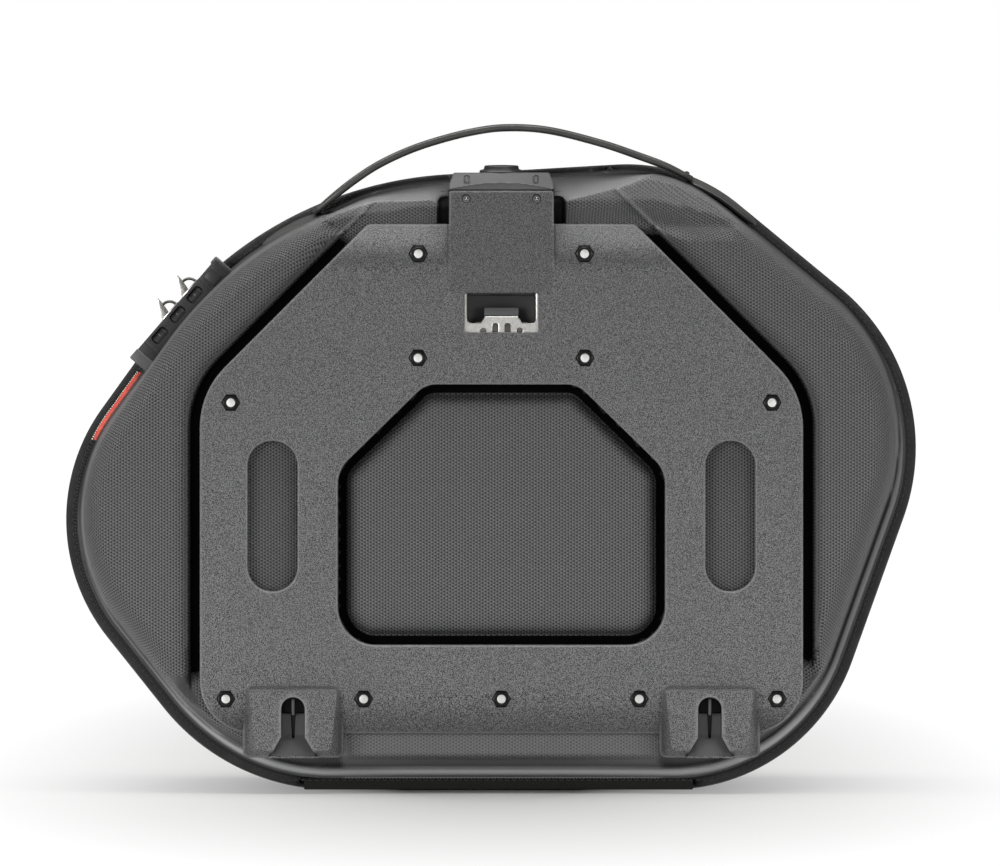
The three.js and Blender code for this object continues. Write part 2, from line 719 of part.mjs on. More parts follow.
put("combination_lock_body", lockBody(), SMOOTH);
DIALS.forEach((u, i) => put(`lock_dial_${i + 1}`, lockDial(u), BLACK_STEEL));
put("dial_axle", dialAxle(), STEEL);
put("lock_release", lockRelease(), SMOOTH);
for (const [name, u] of Object.entries(SLIDERS)) {
  put(`zip_slider_${name}`, zipSlider(u), STEEL);
  put(`zip_puller_${name}`, zipPuller(u), STEEL);
}

put("carry_handle", carryHandle(), RUBBER);
put("handle_end_left", handleEnd(-1), RUBBER);
put("handle_end_right", handleEnd(1), RUBBER);
put("handle_anchor_left", handleAnchor(-1), RUBBER);
put("handle_anchor_right", handleAnchor(1), RUBBER);

put("cover_shell", coverShell(), EVA);

export default bag;
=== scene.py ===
"""Visual model of the saddlebag. Blender works in metres; shapes here are worked out in millimetres.

The frame is the CAD model's: +Z up, the mounting side faces -Y and the outer cover faces +Y.
"""

import math

import bmesh
import bpy
import numpy as np
from mathutils import Matrix, Vector
from mathutils.geometry import delaunay_2d_cdt

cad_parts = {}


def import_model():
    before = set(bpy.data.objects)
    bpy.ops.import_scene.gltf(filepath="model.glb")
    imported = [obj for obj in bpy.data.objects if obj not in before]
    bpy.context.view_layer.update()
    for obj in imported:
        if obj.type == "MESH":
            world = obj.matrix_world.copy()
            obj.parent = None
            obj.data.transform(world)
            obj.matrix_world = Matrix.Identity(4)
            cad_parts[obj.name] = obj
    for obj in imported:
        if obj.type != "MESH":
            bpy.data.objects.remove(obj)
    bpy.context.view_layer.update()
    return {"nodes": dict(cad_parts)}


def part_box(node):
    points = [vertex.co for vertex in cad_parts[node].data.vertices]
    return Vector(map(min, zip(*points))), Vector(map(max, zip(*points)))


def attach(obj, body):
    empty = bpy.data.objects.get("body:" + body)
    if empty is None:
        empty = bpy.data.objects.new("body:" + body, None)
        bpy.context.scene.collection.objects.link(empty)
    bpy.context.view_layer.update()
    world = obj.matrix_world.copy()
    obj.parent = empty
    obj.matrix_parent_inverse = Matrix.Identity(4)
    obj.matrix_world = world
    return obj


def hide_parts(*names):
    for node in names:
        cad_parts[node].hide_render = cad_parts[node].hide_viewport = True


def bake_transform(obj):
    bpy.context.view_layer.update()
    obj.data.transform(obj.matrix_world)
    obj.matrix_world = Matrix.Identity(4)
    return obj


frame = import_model()
MM = 0.001

# ---------------------------------------------------------------- camera, at the photograph's angle
IMAGE_MM = 528.2  # width of the picture at the bag
LENS = 480
camera_data = bpy.data.cameras.new("camera")
camera_data.lens = LENS
camera_data.sensor_width = 36
camera_data.clip_end = 100
camera = bpy.data.objects.new("camera", camera_data)
bpy.context.scene.collection.objects.link(camera)
bpy.context.scene.camera = camera
target = Vector((4.75, -70, 189)) * MM
distance = IMAGE_MM * LENS / 36 * MM
tilt = math.radians(1.0)
camera.location = target + distance * Vector((0, -math.cos(tilt), math.sin(tilt)))
camera.rotation_euler = (math.pi / 2 - tilt, 0, 0)


# ---------------------------------------------------------------- sizes, from the frame
def box_mm(node):
    low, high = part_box(node)
    return low / MM, high / MM


shell_low, shell_high = box_mm("rear_shell")
plate_low, plate_high = box_mm("mounting_plate")
tape_low, tape_high = box_mm("zip_tape_rear")
strip_low, strip_high = box_mm("base_strip_rear")
lock_low = box_mm("combination_lock_body")[0]
handle_low, handle_high = box_mm("carry_handle")
cap_low, cap_high = box_mm("lock_cap")

WING_Y = shell_low.y
RIM_Y = shell_high.y
PLATE_Y = cap_low.y
PLATE_X = (plate_low.x + plate_high.x) / 2
PLATE_HALF = (plate_high.x - plate_low.x) / 2
SOCKET_Y = plate_low.y
BACK_Y = box_mm("backing_plate")[0].y - 4.6
ZIP_Y = (tape_high.y + box_mm("zip_tape_cover")[0].y) / 2
BED_Y = BACK_Y + 0.3
BASE_LEFT = strip_low.x
BASE_RIGHT = strip_high.x
BAND = 5.7  # width of the zip's tapes
WALL = 3.2  # thickness of both shells
SHARP_ANGLE = math.radians(28)  # edges sharper than this are rounded

# Corners are [x, z, radius], counter-clockwise as seen from the mounting side.
BAG = [
    (-139, 0, 115),
    (167, 0, 102),
    (244.5, 216.5, 109),
    (103, 333, 93),
    (-121, 320, 205),
    (-250.5, 140, 100),
]


def on_plate(*corners):
    return [(PLATE_X + x, z, radius) for x, z, radius in corners]


PLATE = on_plate(
    (-PLATE_HALF, 31, 28),
    (PLATE_HALF, 31, 28),
    (PLATE_HALF, 211, 45),
    (70.3, 299.5, 5),
    (-70.3, 299.5, 5),
    (-PLATE_HALF, 211, 45),
)
WINDOW = on_plate(
    (-86, 78, 20),
    (86, 78, 20),
    (86, 170, 18),
    (40, 215, 14),
    (-40, 215, 14),
    (-86, 170, 18),
)
BED = on_plate(
    (-PLATE_HALF, -60, 5),
    (PLATE_HALF, -60, 5),
    (PLATE_HALF, 211, 45),
    (9.7, 360, 3),
    (-9.7, 360, 3),
    (-PLATE_HALF, 211, 45),
)
BOSS_INSET = 6.3
BOLTS = [
    (PLATE_X + x, z)
    for x, z in [
        (-43.7, 283.8),
        (-43.9, 229),
        (-142.3, 205.5),
        (43.7, 283.8),
        (43.9, 229),
        (142.3, 205.5),
        *[(i * 72.5, 49.6) for i in (-2, -1, 0, 1, 2)],
    ]
]


def rectangle(x, z, half_x, half_z, radius):
    return [
        (x - half_x, z - half_z, radius),
        (x + half_x, z - half_z, radius),
        (x + half_x, z + half_z, radius),
        (x - half_x, z + half_z, radius),
    ]


SLOTS = [rectangle(PLATE_X + s * 120.4, 145.8, 13, 39.5, 12.9) for s in (-1, 1)]
COLUMN_HALF = cap_high.x - PLATE_X
COLUMN_TOP = cap_low.z - 0.3
COLUMN_FOOT = 262
COLUMN = rectangle(PLATE_X, (COLUMN_FOOT + COLUMN_TOP) / 2, COLUMN_HALF, (COLUMN_TOP - COLUMN_FOOT) / 2, 1.5)
LATCH = rectangle(PLATE_X, 252.65, 19.4, 10.35, 1.2)
SCREW_X = 18.5
SCREWS = [rectangle(PLATE_X + s * SCREW_X, 312.8, 2.4, 2.4, 2.39) for s in (-1, 1)]


# ---------------------------------------------------------------- outline geometry, in the XZ plane
def corner_arcs(corners, inset=0.0):
    """(centre, radius, first angle, turn) of each corner of a convex outline moved inwards."""
    points = [Vector((x, z)) for x, z, _ in corners]
    arcs = []
    for i, (_, _, radius) in enumerate(corners):
        enter = (points[i] - points[i - 1]).normalized()
        leave = (points[(i + 1) % len(points)] - points[i]).normalized()
        turn = math.acos(max(-1.0, min(1.0, enter.dot(leave))))
        inward = (leave - enter).normalized()
        centre = points[i] + inward * radius / math.cos(turn / 2)
        left = radius - inset
        if left < 0.4:
            centre += inward * (0.4 - left) / math.cos(turn / 2)
            left = 0.4
        arcs.append((centre, left, math.atan2(-enter.x, enter.y), turn))
    return arcs


def outline(corners, inset=0.0, rise=0.0, step=4.0, straight=None):
    """Points round an outline; the number of points doesn't depend on the inset."""
    points = []
    arcs = corner_arcs(corners, inset)
    for i, (centre, radius, first, turn) in enumerate(arcs):
        count = max(3, round(math.degrees(turn) / step))
        for k in range(count + 1):
            angle = first + turn * k / count
            points.append((centre.x + radius * math.cos(angle), centre.y + rise + radius * math.sin(angle)))
        if straight:
            ahead, next_radius, next_first, _ = arcs[(i + 1) % len(arcs)]
            across, up = next_radius * math.cos(next_first), next_radius * math.sin(next_first)
            end = Vector((ahead.x + across, ahead.y + up))
            start = Vector(points[-1]) - Vector((0, rise))
            count = math.ceil((ahead - centre).length / straight)
            for k in range(1, count):
                middle = start.lerp(end, k / count)
                points.append((middle.x, middle.y + rise))
    return np.array(points)


def outlines(corners, insets, step):
    """The outline at several insets."""
    return [outline(corners, k, step=step) for k in insets]


def offset_edges(corners, insets):
    """An outline whose edges are moved inwards by different amounts."""
    lines = []
    for i, (x, z, _) in enumerate(corners):
        ahead = corners[(i + 1) % len(corners)]
        along = Vector((ahead[0] - x, ahead[1] - z)).normalized()
        inward = Vector((-along.y, along.x))
        lines.append((Vector((x, z)) + inward * insets[i], along))
    result = []
    for i, (_, _, radius) in enumerate(corners):
        (a, u), (b, v) = lines[i - 1], lines[i]
        t = (b - a).cross(v) / u.cross(v)
        place = a + u * t
        result.append((place.x, place.y, radius - (insets[i - 1] + insets[i]) / 2))
    return result


def denser(loop, pitch):
    """A closed line with points added so that none are further apart than pitch."""
    points = []
    for a, b in zip(loop, np.roll(loop, -1, axis=0)):
        count = max(1, math.ceil(np.linalg.norm(b - a) / pitch))
        points += [a + (b - a) * k / count for k in range(count)]
    return np.array(points)


def inside_distance(corners, points):
    """Distance of points from a rounded convex outline, positive inside."""
    corner_points = [np.array((x, z)) for x, z, _ in corners]
    distance = np.full(len(points), 1e9)
    directions = []
    for i, here in enumerate(corner_points):
        along = here - corner_points[i - 1]
        along = along / np.linalg.norm(along)
        directions.append(along)
        side = (points - here) @ np.array((-along[1], along[0]))
        distance = np.minimum(distance, side)
    for i, (centre, radius, _, _) in enumerate(corner_arcs(corners)):
        away = points - np.array(centre)
        leave = directions[(i + 1) % len(directions)]
        wedge = (away @ directions[i] > 0) & (away @ leave < 0)
        distance = np.where(wedge, radius - np.linalg.norm(away, axis=1), distance)
    return distance


def smoothstep(low, high, value):
    """0 at low, 1 at high and smooth between; low may be above high."""
    t = np.clip((value - low) / (high - low), 0.0, 1.0)
    return t * t * (3 - 2 * t)


def fillet(distance, radius):
    """How far an edge of this radius falls away, at a distance inside it."""
    reach = np.clip(radius - distance, 0.0, radius)
    return radius - np.sqrt(radius * radius - reach * reach)


def curve_through(points):
    """A smooth monotone curve through (x, y) pairs."""
    xs, ys = (np.array(column, float) for column in zip(*points))
    slope = np.diff(ys) / np.diff(xs)
    tangent = np.zeros(len(xs))
    for i in range(1, len(xs) - 1):
        if slope[i - 1] * slope[i] > 0:
            tangent[i] = 2 * slope[i - 1] * slope[i] / (slope[i - 1] + slope[i])
    tangent[0], tangent[-1] = slope[0], slope[-1]

    def value(at):
        at = np.clip(at, xs[0], xs[-1])
        i = np.clip(np.searchsorted(xs, at) - 1, 0, len(xs) - 2)
        h = xs[i + 1] - xs[i]
        t = (at - xs[i]) / h
        return (
            (1 + 2 * t) * (1 - t) ** 2 * ys[i]
            + t * (1 - t) ** 2 * h * tangent[i]
            + t * t * (3 - 2 * t) * ys[i + 1]
            + t * t * (t - 1) * h * tangent[i + 1]
        )

    return value


# The combination lock and the zip sliders sit on the large upper-left arc of the bag.
LOCK_ARC = corner_arcs(BAG)[4]
LOCK_TURN = math.radians(49.3)
LOCK_ALONG = Vector((math.cos(LOCK_TURN), math.sin(LOCK_TURN)))
LOCK_OUT = Vector((-math.sin(LOCK_TURN), math.cos(LOCK_TURN)))
LOCK_ORIGIN = LOCK_ARC[0] + LOCK_OUT * LOCK_ARC[1]


def edge_matrix(along=0.0, y=0.0, out=0.0):
    """Places a shape made with X along the bag's edge, Z out of it and Y as it is."""
    place = LOCK_ORIGIN + LOCK_ALONG * along + LOCK_OUT * out
    turn = Matrix.Rotation(-LOCK_TURN, 4, "Y")
    return Matrix.Translation((place.x, y, place.y)) @ turn


# ---------------------------------------------------------------- mesh helpers
def make_object(name, vertices, faces, body, material, smooth=40.0, replaces=()):
    mesh = bpy.data.meshes.new(name)
    mesh.from_pydata([Vector(v) * MM for v in vertices], [], [list(map(int, f)) for f in faces])
    mesh.validate()
    mesh.update()
    return finish_object(name, mesh, body, material, smooth, replaces)


def finish_object(name, mesh, body, material, smooth=40.0, replaces=()):
    obj = bpy.data.objects.new(name, mesh)
    bpy.context.scene.collection.objects.link(obj)
    mesh.materials.append(material)
    mesh.shade_smooth()
    mesh.set_sharp_from_angle(angle=math.radians(smooth))
    if body:
        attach(obj, body)
    if replaces:
        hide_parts(*replaces)
    return obj


def mesh_from(bm, name, matrix=None):
    if matrix is not None:
        bm.transform(matrix)
    bmesh.ops.recalc_face_normals(bm, faces=bm.faces)
    bm.transform(Matrix.Scale(MM, 4))
    mesh = bpy.data.meshes.new(name)
    bm.to_mesh(mesh)
    bm.free()
    return mesh


def add(name, bm, body, material, place=None, replaces=(), smooth=40.0):
    """An object from a bmesh in millimetres, moved to its place."""
    return finish_object(name, mesh_from(bm, name, place), body, material, smooth, replaces)


def tidied(obj, close=False):
    """Turns an object's faces outwards, after joining its seam and closing its ends if asked."""
    bm = bmesh.new()
    bm.from_mesh(obj.data)
    if close:
        bmesh.ops.remove_doubles(bm, verts=bm.verts, dist=1e-6)
        bmesh.ops.holes_fill(bm, edges=bm.edges)
    bmesh.ops.recalc_face_normals(bm, faces=bm.faces)
    bm.to_mesh(obj.data)
    bm.free()


def thickened(obj):
    """Gives a surface the shells' thickness inwards, with the next material on its inner side."""
    thick = obj.modifiers.new("thickness", "SOLIDIFY")
    thick.thickness = WALL * MM
    thick.offset = -1
    thick.material_offset = 1


def placed(points, place):
    return [tuple(place @ Vector(p)) for p in points]


def hexagon(x, z, radius):
    corners = [k * math.pi / 3 for k in range(6)]
    return np.array([(x + radius * math.cos(a), z + radius * math.sin(a)) for a in corners])


def oval(centre, out, half_out, half_y, count):
    """Points round an oval whose axes are the direction out and Y."""
    across = np.array((0, half_y, 0))
    turns = [2 * math.pi * k / count for k in range(count)]
    return np.array([centre + out * half_out * math.cos(a) + across * math.sin(a) for a in turns])


def relief(loops, fill, inside, height, back, pitch=4.0):
    """A surface over the XZ plane with crisp feature lines, and a skirt back to y = back(x, z)."""
    coordinates = []
    edges = []
    for loop in loops:
        loop = denser(loop, pitch)
        first = len(coordinates)
        coordinates.extend(map(tuple, loop))
        edges.extend((first + i, first + (i + 1) % len(loop)) for i in range(len(loop)))
    coordinates.extend(map(tuple, fill))
    result = delaunay_2d_cdt([Vector(c) for c in coordinates], edges, [], 0, 1e-5)
    flat = np.array([tuple(v) for v in result[0]])
    faces = np.array(result[2])
    centres = flat[faces].mean(axis=1)
    faces = faces[inside(centres) > 0]
    a, b, c = (flat[faces[:, i]] for i in range(3))
    area = (b[:, 0] - a[:, 0]) * (c[:, 1] - a[:, 1]) - (b[:, 1] - a[:, 1]) * (c[:, 0] - a[:, 0])
    faces = faces[np.abs(area) > 1e-7]
    area = area[np.abs(area) > 1e-7]
    faces[area < 0] = faces[area < 0][:, ::-1]
    used = np.unique(faces)
    renumber = np.full(len(flat), -1)
    renumber[used] = np.arange(len(used))
    flat, faces = flat[used], renumber[faces]
    y = height(flat)
    vertices = np.column_stack((flat[:, 0], y, flat[:, 1]))
    polygons = [tuple(f) for f in faces]
    directed = {(f[i], f[(i + 1) % 3]): True for f in polygons for i in range(3)}
    border = [(p, q) for p, q in directed if (q, p) not in directed]
    behind = {}
    extra = []
    for p, q in border:
        for v in (p, q):
            if v not in behind:
                behind[v] = len(vertices) + len(extra)
                extra.append((flat[v, 0], back(*flat[v]), flat[v, 1]))
        polygons.append((q, p, behind[p], behind[q]))
    return np.vstack((vertices, np.array(extra))), polygons, flat


def grid_points(low_x, high_x, low_z, high_z, pitch):
    """Rows of points, every second row moved by half a pitch."""
    xs = np.arange(low_x, high_x, pitch)
    zs = np.arange(low_z, high_z, pitch * 0.87)
    return np.array([(x + (j % 2) * pitch / 2, z) for j, z in enumerate(zs) for x in xs])


def loft(rings, closed=True, caps=True):
    """Vertices and faces through rings of equal length."""
    count = len(rings[0])
    vertices = np.vstack(rings)
    faces = []
    for r in range(len(rings) - 1):
        for i in range(count if closed else count - 1):
            j = (i + 1) % count
            faces.append((r * count + i, (r + 1) * count + i, (r + 1) * count + j, r * count + j))
    if caps:
        faces.append(tuple(range(count)))
        faces.append(tuple(range(len(vertices) - 1, len(vertices) - 1 - count, -1)))
    return vertices, faces


def lathe(name, profile, matrix, body, material, replaces=(), sides=48, smooth=35.0):
    """Turns (radius, height) pairs about local Z."""
    bm = bmesh.new()
    rings = []
    for radius, height in profile:
        if radius < 1e-6:
            rings.append([bm.verts.new((0, 0, height))])
            continue
        turns = [2 * math.pi * k / sides for k in range(sides)]
        rings.append([bm.verts.new((radius * math.cos(a), radius * math.sin(a), height)) for a in turns])
    for low, high in zip(rings, rings[1:]):
        for k in range(sides):
            j = (k + 1) % sides
            if len(low) == 1:
                bm.faces.new((low[0], high[j], high[k]))
            elif len(high) == 1:
                bm.faces.new((low[k], low[j], high[0]))
            else:
                bm.faces.new((low[k], low[j], high[j], high[k]))
    return add(name, bm, body, material, matrix, replaces, smooth)


def bevel_sharp(bm, width, segments=2):
    edges = [e for e in bm.edges if len(e.link_faces) == 2 and e.calc_face_angle(0) > SHARP_ANGLE]
    bmesh.ops.bevel(
        bm,
        geom=edges,
        offset=width,
        offset_type="OFFSET",
        segments=segments,
        profile=0.5,
        affect="EDGES",
        clamp_overlap=True,
    )


def block(size, centre, bevel, segments=2):
    """A box with rounded edges, as a bmesh in millimetres."""
    bm = bmesh.new()
    bmesh.ops.create_cube(bm, size=1)
    bmesh.ops.scale(bm, vec=size, verts=bm.verts)
    bmesh.ops.translate(bm, vec=centre, verts=bm.verts)
    bevel_sharp(bm, bevel, segments)
    return bm


def extruded(points, low, high, bevel):
    """Points in XZ, extruded along Y and rounded, as a bmesh in millimetres."""
    bm = bmesh.new()
    front = [bm.verts.new((x, low, z)) for x, z in points]
    back = [bm.verts.new((x, high, z)) for x, z in points]
    bm.faces.new(front)
    bm.faces.new(back[::-1])
    for i in range(len(points)):
        j = (i + 1) % len(points)
        bm.faces.new((front[j], front[i], back[i], back[j]))
    bmesh.ops.recalc_face_normals(bm, faces=bm.faces)
    bevel_sharp(bm, bevel)
    return bm


def softened(node, bevel, body, material, segments=2):
    """A copy of a CAD piece with its flat faces merged and its edges rounded."""
    bm = bmesh.new()
    bm.from_mesh(frame["nodes"][node].data)
    bm.transform(Matrix.Scale(1 / MM, 4))
    bmesh.ops.remove_doubles(bm, verts=bm.verts, dist=1e-3)
    bmesh.ops.dissolve_limit(bm, angle_limit=math.radians(1.5), verts=bm.verts, edges=bm.edges)
    bevel_sharp(bm, bevel, segments)
    return add(node + "_look", bm, body, material, None, [node], 35.0)


def paint(obj, name, values):
    """A number on each vertex for the shader; the vertices past the values given get 0."""
    padded = np.zeros(len(obj.data.vertices), np.float32)
    padded[: len(values)] = values
    obj.data.attributes.new(name, "FLOAT", "POINT").data.foreach_set("value", padded)


# ---------------------------------------------------------------- materials
class Shader:
    """A material with its Principled shader and short calls to add nodes."""

    def __init__(self, name, slot, color, roughness, metallic=0.0, **sockets):
        self.material = bpy.data.materials.new(name)
        self.material["slot"] = slot
        self.material.use_nodes = True
        self.tree = self.material.node_tree
        self.tree.nodes.clear()
        self.output = self.node("ShaderNodeOutputMaterial")
        self.shader = self.node("ShaderNodeBsdfPrincipled")
        self.link(self.shader.outputs[0], self.output.inputs[0])
        self.set("Base Color", (*color, 1))
        self.set("Roughness", roughness)
        self.set("Metallic", metallic)
        for socket, value in sockets.items():
            self.set(socket.replace("_", " "), value)
        self.material.diffuse_color = (*color, 1)

    def node(self, kind, **settings):
        node = self.tree.nodes.new(kind)
        for key, value in settings.items():
            if key in node.inputs:
                node.inputs[key].default_value = value
            else:
                setattr(node, key, value)
        return node

    def link(self, a, b):
        self.tree.links.new(a, b)

    def set(self, socket, value):
        self.shader.inputs[socket].default_value = value

    def position(self, scale=(1, 1, 1)):
        """Place on the piece in millimetres, scaled."""
        coordinates = self.node("ShaderNodeTexCoord")
        mapping = self.node("ShaderNodeMapping")
        mapping.inputs["Scale"].default_value = [s / MM for s in scale]
        self.link(coordinates.outputs["Object"], mapping.inputs["Vector"])
        return mapping.outputs[0]

    def math(self, operation, a, b=0.0, c=0.0):
        node = self.node("ShaderNodeMath", operation=operation)
        for socket, value in zip(node.inputs, (a, b, c)):
            if isinstance(value, (int, float)):
                socket.default_value = value
            else:
                self.link(value, socket)
        return node.outputs[0]

    def wave(self, vector, direction, length):
        """A plane wave between -1 and 1 of a wavelength in millimetres."""
        dot = self.node("ShaderNodeVectorMath", operation="DOT_PRODUCT")
        self.link(vector, dot.inputs[0])
        dot.inputs[1].default_value = [d * 2 * math.pi / length for d in direction]
        return self.math("SINE", dot.outputs["Value"])

    def noise(self, vector, size, detail=2.0, roughness=0.5):
        node = self.node("ShaderNodeTexNoise", Scale=1 / size, Detail=detail, Roughness=roughness)
        self.link(vector, node.inputs["Vector"])
        return node.outputs[0]

    def attribute(self, name):
        return self.node("ShaderNodeAttribute", attribute_name=name).outputs["Fac"]

    def ramp(self, value, low, high, first=0.0, last=1.0):
        """Maps a value from one range to another."""
        node = self.node("ShaderNodeMapRange")
        self.link(value, node.inputs["Value"])
        for socket, number in zip(("From Min", "From Max", "To Min", "To Max"), (low, high, first, last)):
            node.inputs[socket].default_value = number
        return node.outputs[0]

    def mix_color(self, factor, first, second):
        node = self.node("ShaderNodeMix", data_type="RGBA")
        self.link(factor, node.inputs[0])
        for socket, value in ((node.inputs[6], first), (node.inputs[7], second)):
            if isinstance(value, tuple):
                socket.default_value = (*value, 1)
            else:
                self.link(value, socket)
        return node.outputs[2]

    def shaded_by_height(self, place, color, low=80.0, high=320.0, most=0.42):
        """Painted shade: the colour turned darker between two heights."""
        split = self.node("ShaderNodeSeparateXYZ")
        self.link(place, split.inputs[0])
        return self.mix_color(self.ramp(split.outputs["Z"], low, high, 0.0, most), color, grey(0.01))

    def color(self, output):
        self.link(output, self.shader.inputs["Base Color"])

    def rough(self, output):
        self.link(output, self.shader.inputs["Roughness"])

    def bump(self, height, distance):
        """Adds a bump whose height 0 to 1 is distance millimetres."""
        node = self.node("ShaderNodeBump", Strength=1.0, Distance=distance * MM)
        self.link(height, node.inputs["Height"])
        if self.shader.inputs["Normal"].is_linked:
            self.link(self.shader.inputs["Normal"].links[0].from_socket, node.inputs["Normal"])
        self.link(node.outputs[0], self.shader.inputs["Normal"])


def grey(value):
    return (value, value, value * 1.01)


def embossed_fabric():
    """Shell facing: a hexagonal weave that fades out where the attribute weave is 0."""
    s = Shader("embossed_fabric", "shell", grey(0.11), 0.62, Specular_IOR_Level=0.3)
    place = s.position()
    cloth = s.node("ShaderNodeCombineXYZ")
    s.link(s.attribute("across"), cloth.inputs["X"])
    s.link(s.attribute("up"), cloth.inputs["Z"])
    directions = [(math.cos(a), 0, math.sin(a)) for a in (0.0, math.radians(60), math.radians(120))]
    waves = [s.wave(cloth.outputs[0], direction, 1.55) for direction in directions]
    total = s.math("ADD", s.math("ADD", waves[0], waves[1]), waves[2])
    pits = s.math("POWER", s.ramp(total, -1.5, 2.6), 1.1)
    weave = s.attribute("weave")
    # Painted shade from this attribute: the grooves, the slots' pads and the line round the raised part.
    groove = s.attribute("groove")
    cloud = s.noise(place, 18.0, 3.0)
    fuzz = s.noise(place, 0.35, 1.0)
    shade = s.mix_color(pits, grey(0.148), grey(0.002))
    wear_and_edge_highlight = s.mix_color(s.ramp(cloud, 0.35, 0.7, 0.0, 0.08), shade, grey(0.08))
    plain = s.mix_color(s.ramp(fuzz, 0.3, 0.7), grey(0.044), grey(0.064))
    # Painted highlights from this attribute: the bead, the grooves' lip, the piping and the strip under the
    # plate.
    bead = s.attribute("bead")
    smooth = s.mix_color(bead, plain, grey(0.4))
    lit = s.mix_color(s.math("MULTIPLY", bead, 0.5), wear_and_edge_highlight, grey(0.4))
    # Painted shade: black in the grooves, and darker higher up.
    s.color(s.mix_color(groove, s.shaded_by_height(place, s.mix_color(weave, smooth, lit)), grey(0.003)))
    s.rough(s.math("ADD", s.ramp(weave, 0.0, 1.0, 0.44, 0.6), s.ramp(pits, 0.0, 1.0, -0.06, 0.12)))
    s.bump(s.math("MULTIPLY", s.math("SUBTRACT", 1.0, pits), weave), 0.55)
    s.bump(fuzz, 0.05)
    return s.material


def lining_fabric():
    """Plain dark cloth inside the bag."""
    s = Shader("lining_fabric", "gusset_fabric", grey(0.05), 0.85, Sheen_Weight=0.2)
    place = s.position()
    weave = s.math("MULTIPLY", s.wave(place, (1, 1, 0), 1.2), s.wave(place, (0, 1, 1), 1.2))
    cells = s.ramp(weave, -1.0, 1.0)
    s.color(s.mix_color(cells, grey(0.03), grey(0.065)))
    s.bump(cells, 0.15)
    return s.material


def speckled_plastic():
    """Glass-filled moulding: a fine light and dark speckle."""
    s = Shader("speckled_plastic", "moulded", grey(0.125), 0.55, Specular_IOR_Level=0.32)
    place = s.position()
    fine = s.noise(place, 0.42, 1.0, 0.5)
    grain = s.noise(place, 0.75, 3.0, 0.8)
    cloud = s.noise(place, 60.0, 2.0)
    speck = s.math("ADD", s.math("MULTIPLY", fine, 0.55), s.math("MULTIPLY", grain, 0.45))
    shade = s.mix_color(s.ramp(speck, 0.436, 0.564), grey(0.012), grey(0.225))
    wear_and_edge_highlight = s.mix_color(s.ramp(cloud, 0.4, 0.7, 0.0, 0.12), shade, grey(0.09))
    # Painted shade on bands of the plate and sockets, with the column's face a little darker, and painted
    # highlights along their edges; the colour also gets darker higher up.
    shade_and_tone = s.mix_color(s.attribute("shade_and_tone"), wear_and_edge_highlight, grey(0.012))
    s.color(s.shaded_by_height(place, s.mix_color(s.attribute("edge"), shade_and_tone, grey(0.3))))
    s.rough(s.ramp(fine, 0.3, 0.7, 0.62, 0.42))
    s.bump(speck, 0.3)
    return s.material


def satin_plastic(name="satin_plastic", slot="smooth", value=0.085, roughness=0.4, gloss=0.4):
    """Even plastic or cloth of one grey, slightly clouded."""
    s = Shader(name, slot, grey(value), roughness, Specular_IOR_Level=gloss)
    place = s.position()
    fine = s.noise(place, 0.5, 2.0)
    cloud = s.noise(place, 25.0, 3.0)
    s.color(s.mix_color(s.ramp(cloud, 0.3, 0.7), grey(value * 0.9), grey(value * 1.15)))
    s.rough(s.ramp(fine, 0.3, 0.7, roughness + 0.06, roughness - 0.06))
    s.bump(fine, 0.03)
    return s.material


def zip_fabric():
    """Coated tape with a fine crossed rib."""
    s = Shader("zip_fabric", "zip_fabric", grey(0.022), 0.6, Specular_IOR_Level=0.4)
    place = s.position()
    ribs = s.math("MULTIPLY", s.wave(place, (1, 0.4, 1), 0.9), s.wave(place, (1, -0.4, -1), 0.9))
    cells = s.ramp(ribs, -1.0, 1.0)
    cloud = s.noise(place, 12.0, 2.0)
    # Painted shade: the tape gets darker higher up.
    s.color(s.shaded_by_height(place, s.mix_color(cells, grey(0.012), grey(0.028)), 20.0, 140.0, 0.85))
    s.rough(s.ramp(cloud, 0.3, 0.7, 0.7, 0.45))
    s.bump(cells, 0.1)
    return s.material


def coarse_weave():
    """Hinge strip: heavy plain weave of round yarns."""
    s = Shader("coarse_weave", "base_fabric", grey(0.03), 0.85, Specular_IOR_Level=0.2)
    place = s.position()
    warp = s.wave(place, (1, 0, 0), 2.2)
    weft = s.wave(place, (0, 0.7, 1), 1.7)
    check = s.math("MULTIPLY", warp, weft)
    yarn = s.math("ADD", s.math("MULTIPLY", check, 0.5), s.math("MULTIPLY", s.math("ABSOLUTE", warp), 0.5))
    cells = s.ramp(yarn, -0.5, 1.0)
    cloud = s.noise(place, 9.0, 3.0)
    shade = s.mix_color(cells, (0.003, 0.003, 0.002), (0.028, 0.028, 0.025))
    s.color(s.mix_color(s.ramp(cloud, 0.4, 0.7, 0.0, 0.3), shade, (0.016, 0.016, 0.014)))
    s.bump(cells, 0.3)
    return s.material


def strap_rubber():
    """Smooth soft strap, a little uneven."""
    s = Shader("strap_rubber", "strap", (0.062, 0.062, 0.06), 0.42, Specular_IOR_Level=0.5)
    place = s.position()
    fine = s.noise(place, 0.6, 2.0)
    cloud = s.noise(place, 14.0, 3.0)
    s.color(s.mix_color(s.ramp(cloud, 0.35, 0.7), (0.026, 0.026, 0.025), (0.045, 0.045, 0.043)))
    s.rough(s.ramp(cloud, 0.3, 0.7, 0.5, 0.34))
    s.bump(fine, 0.05)
    return s.material


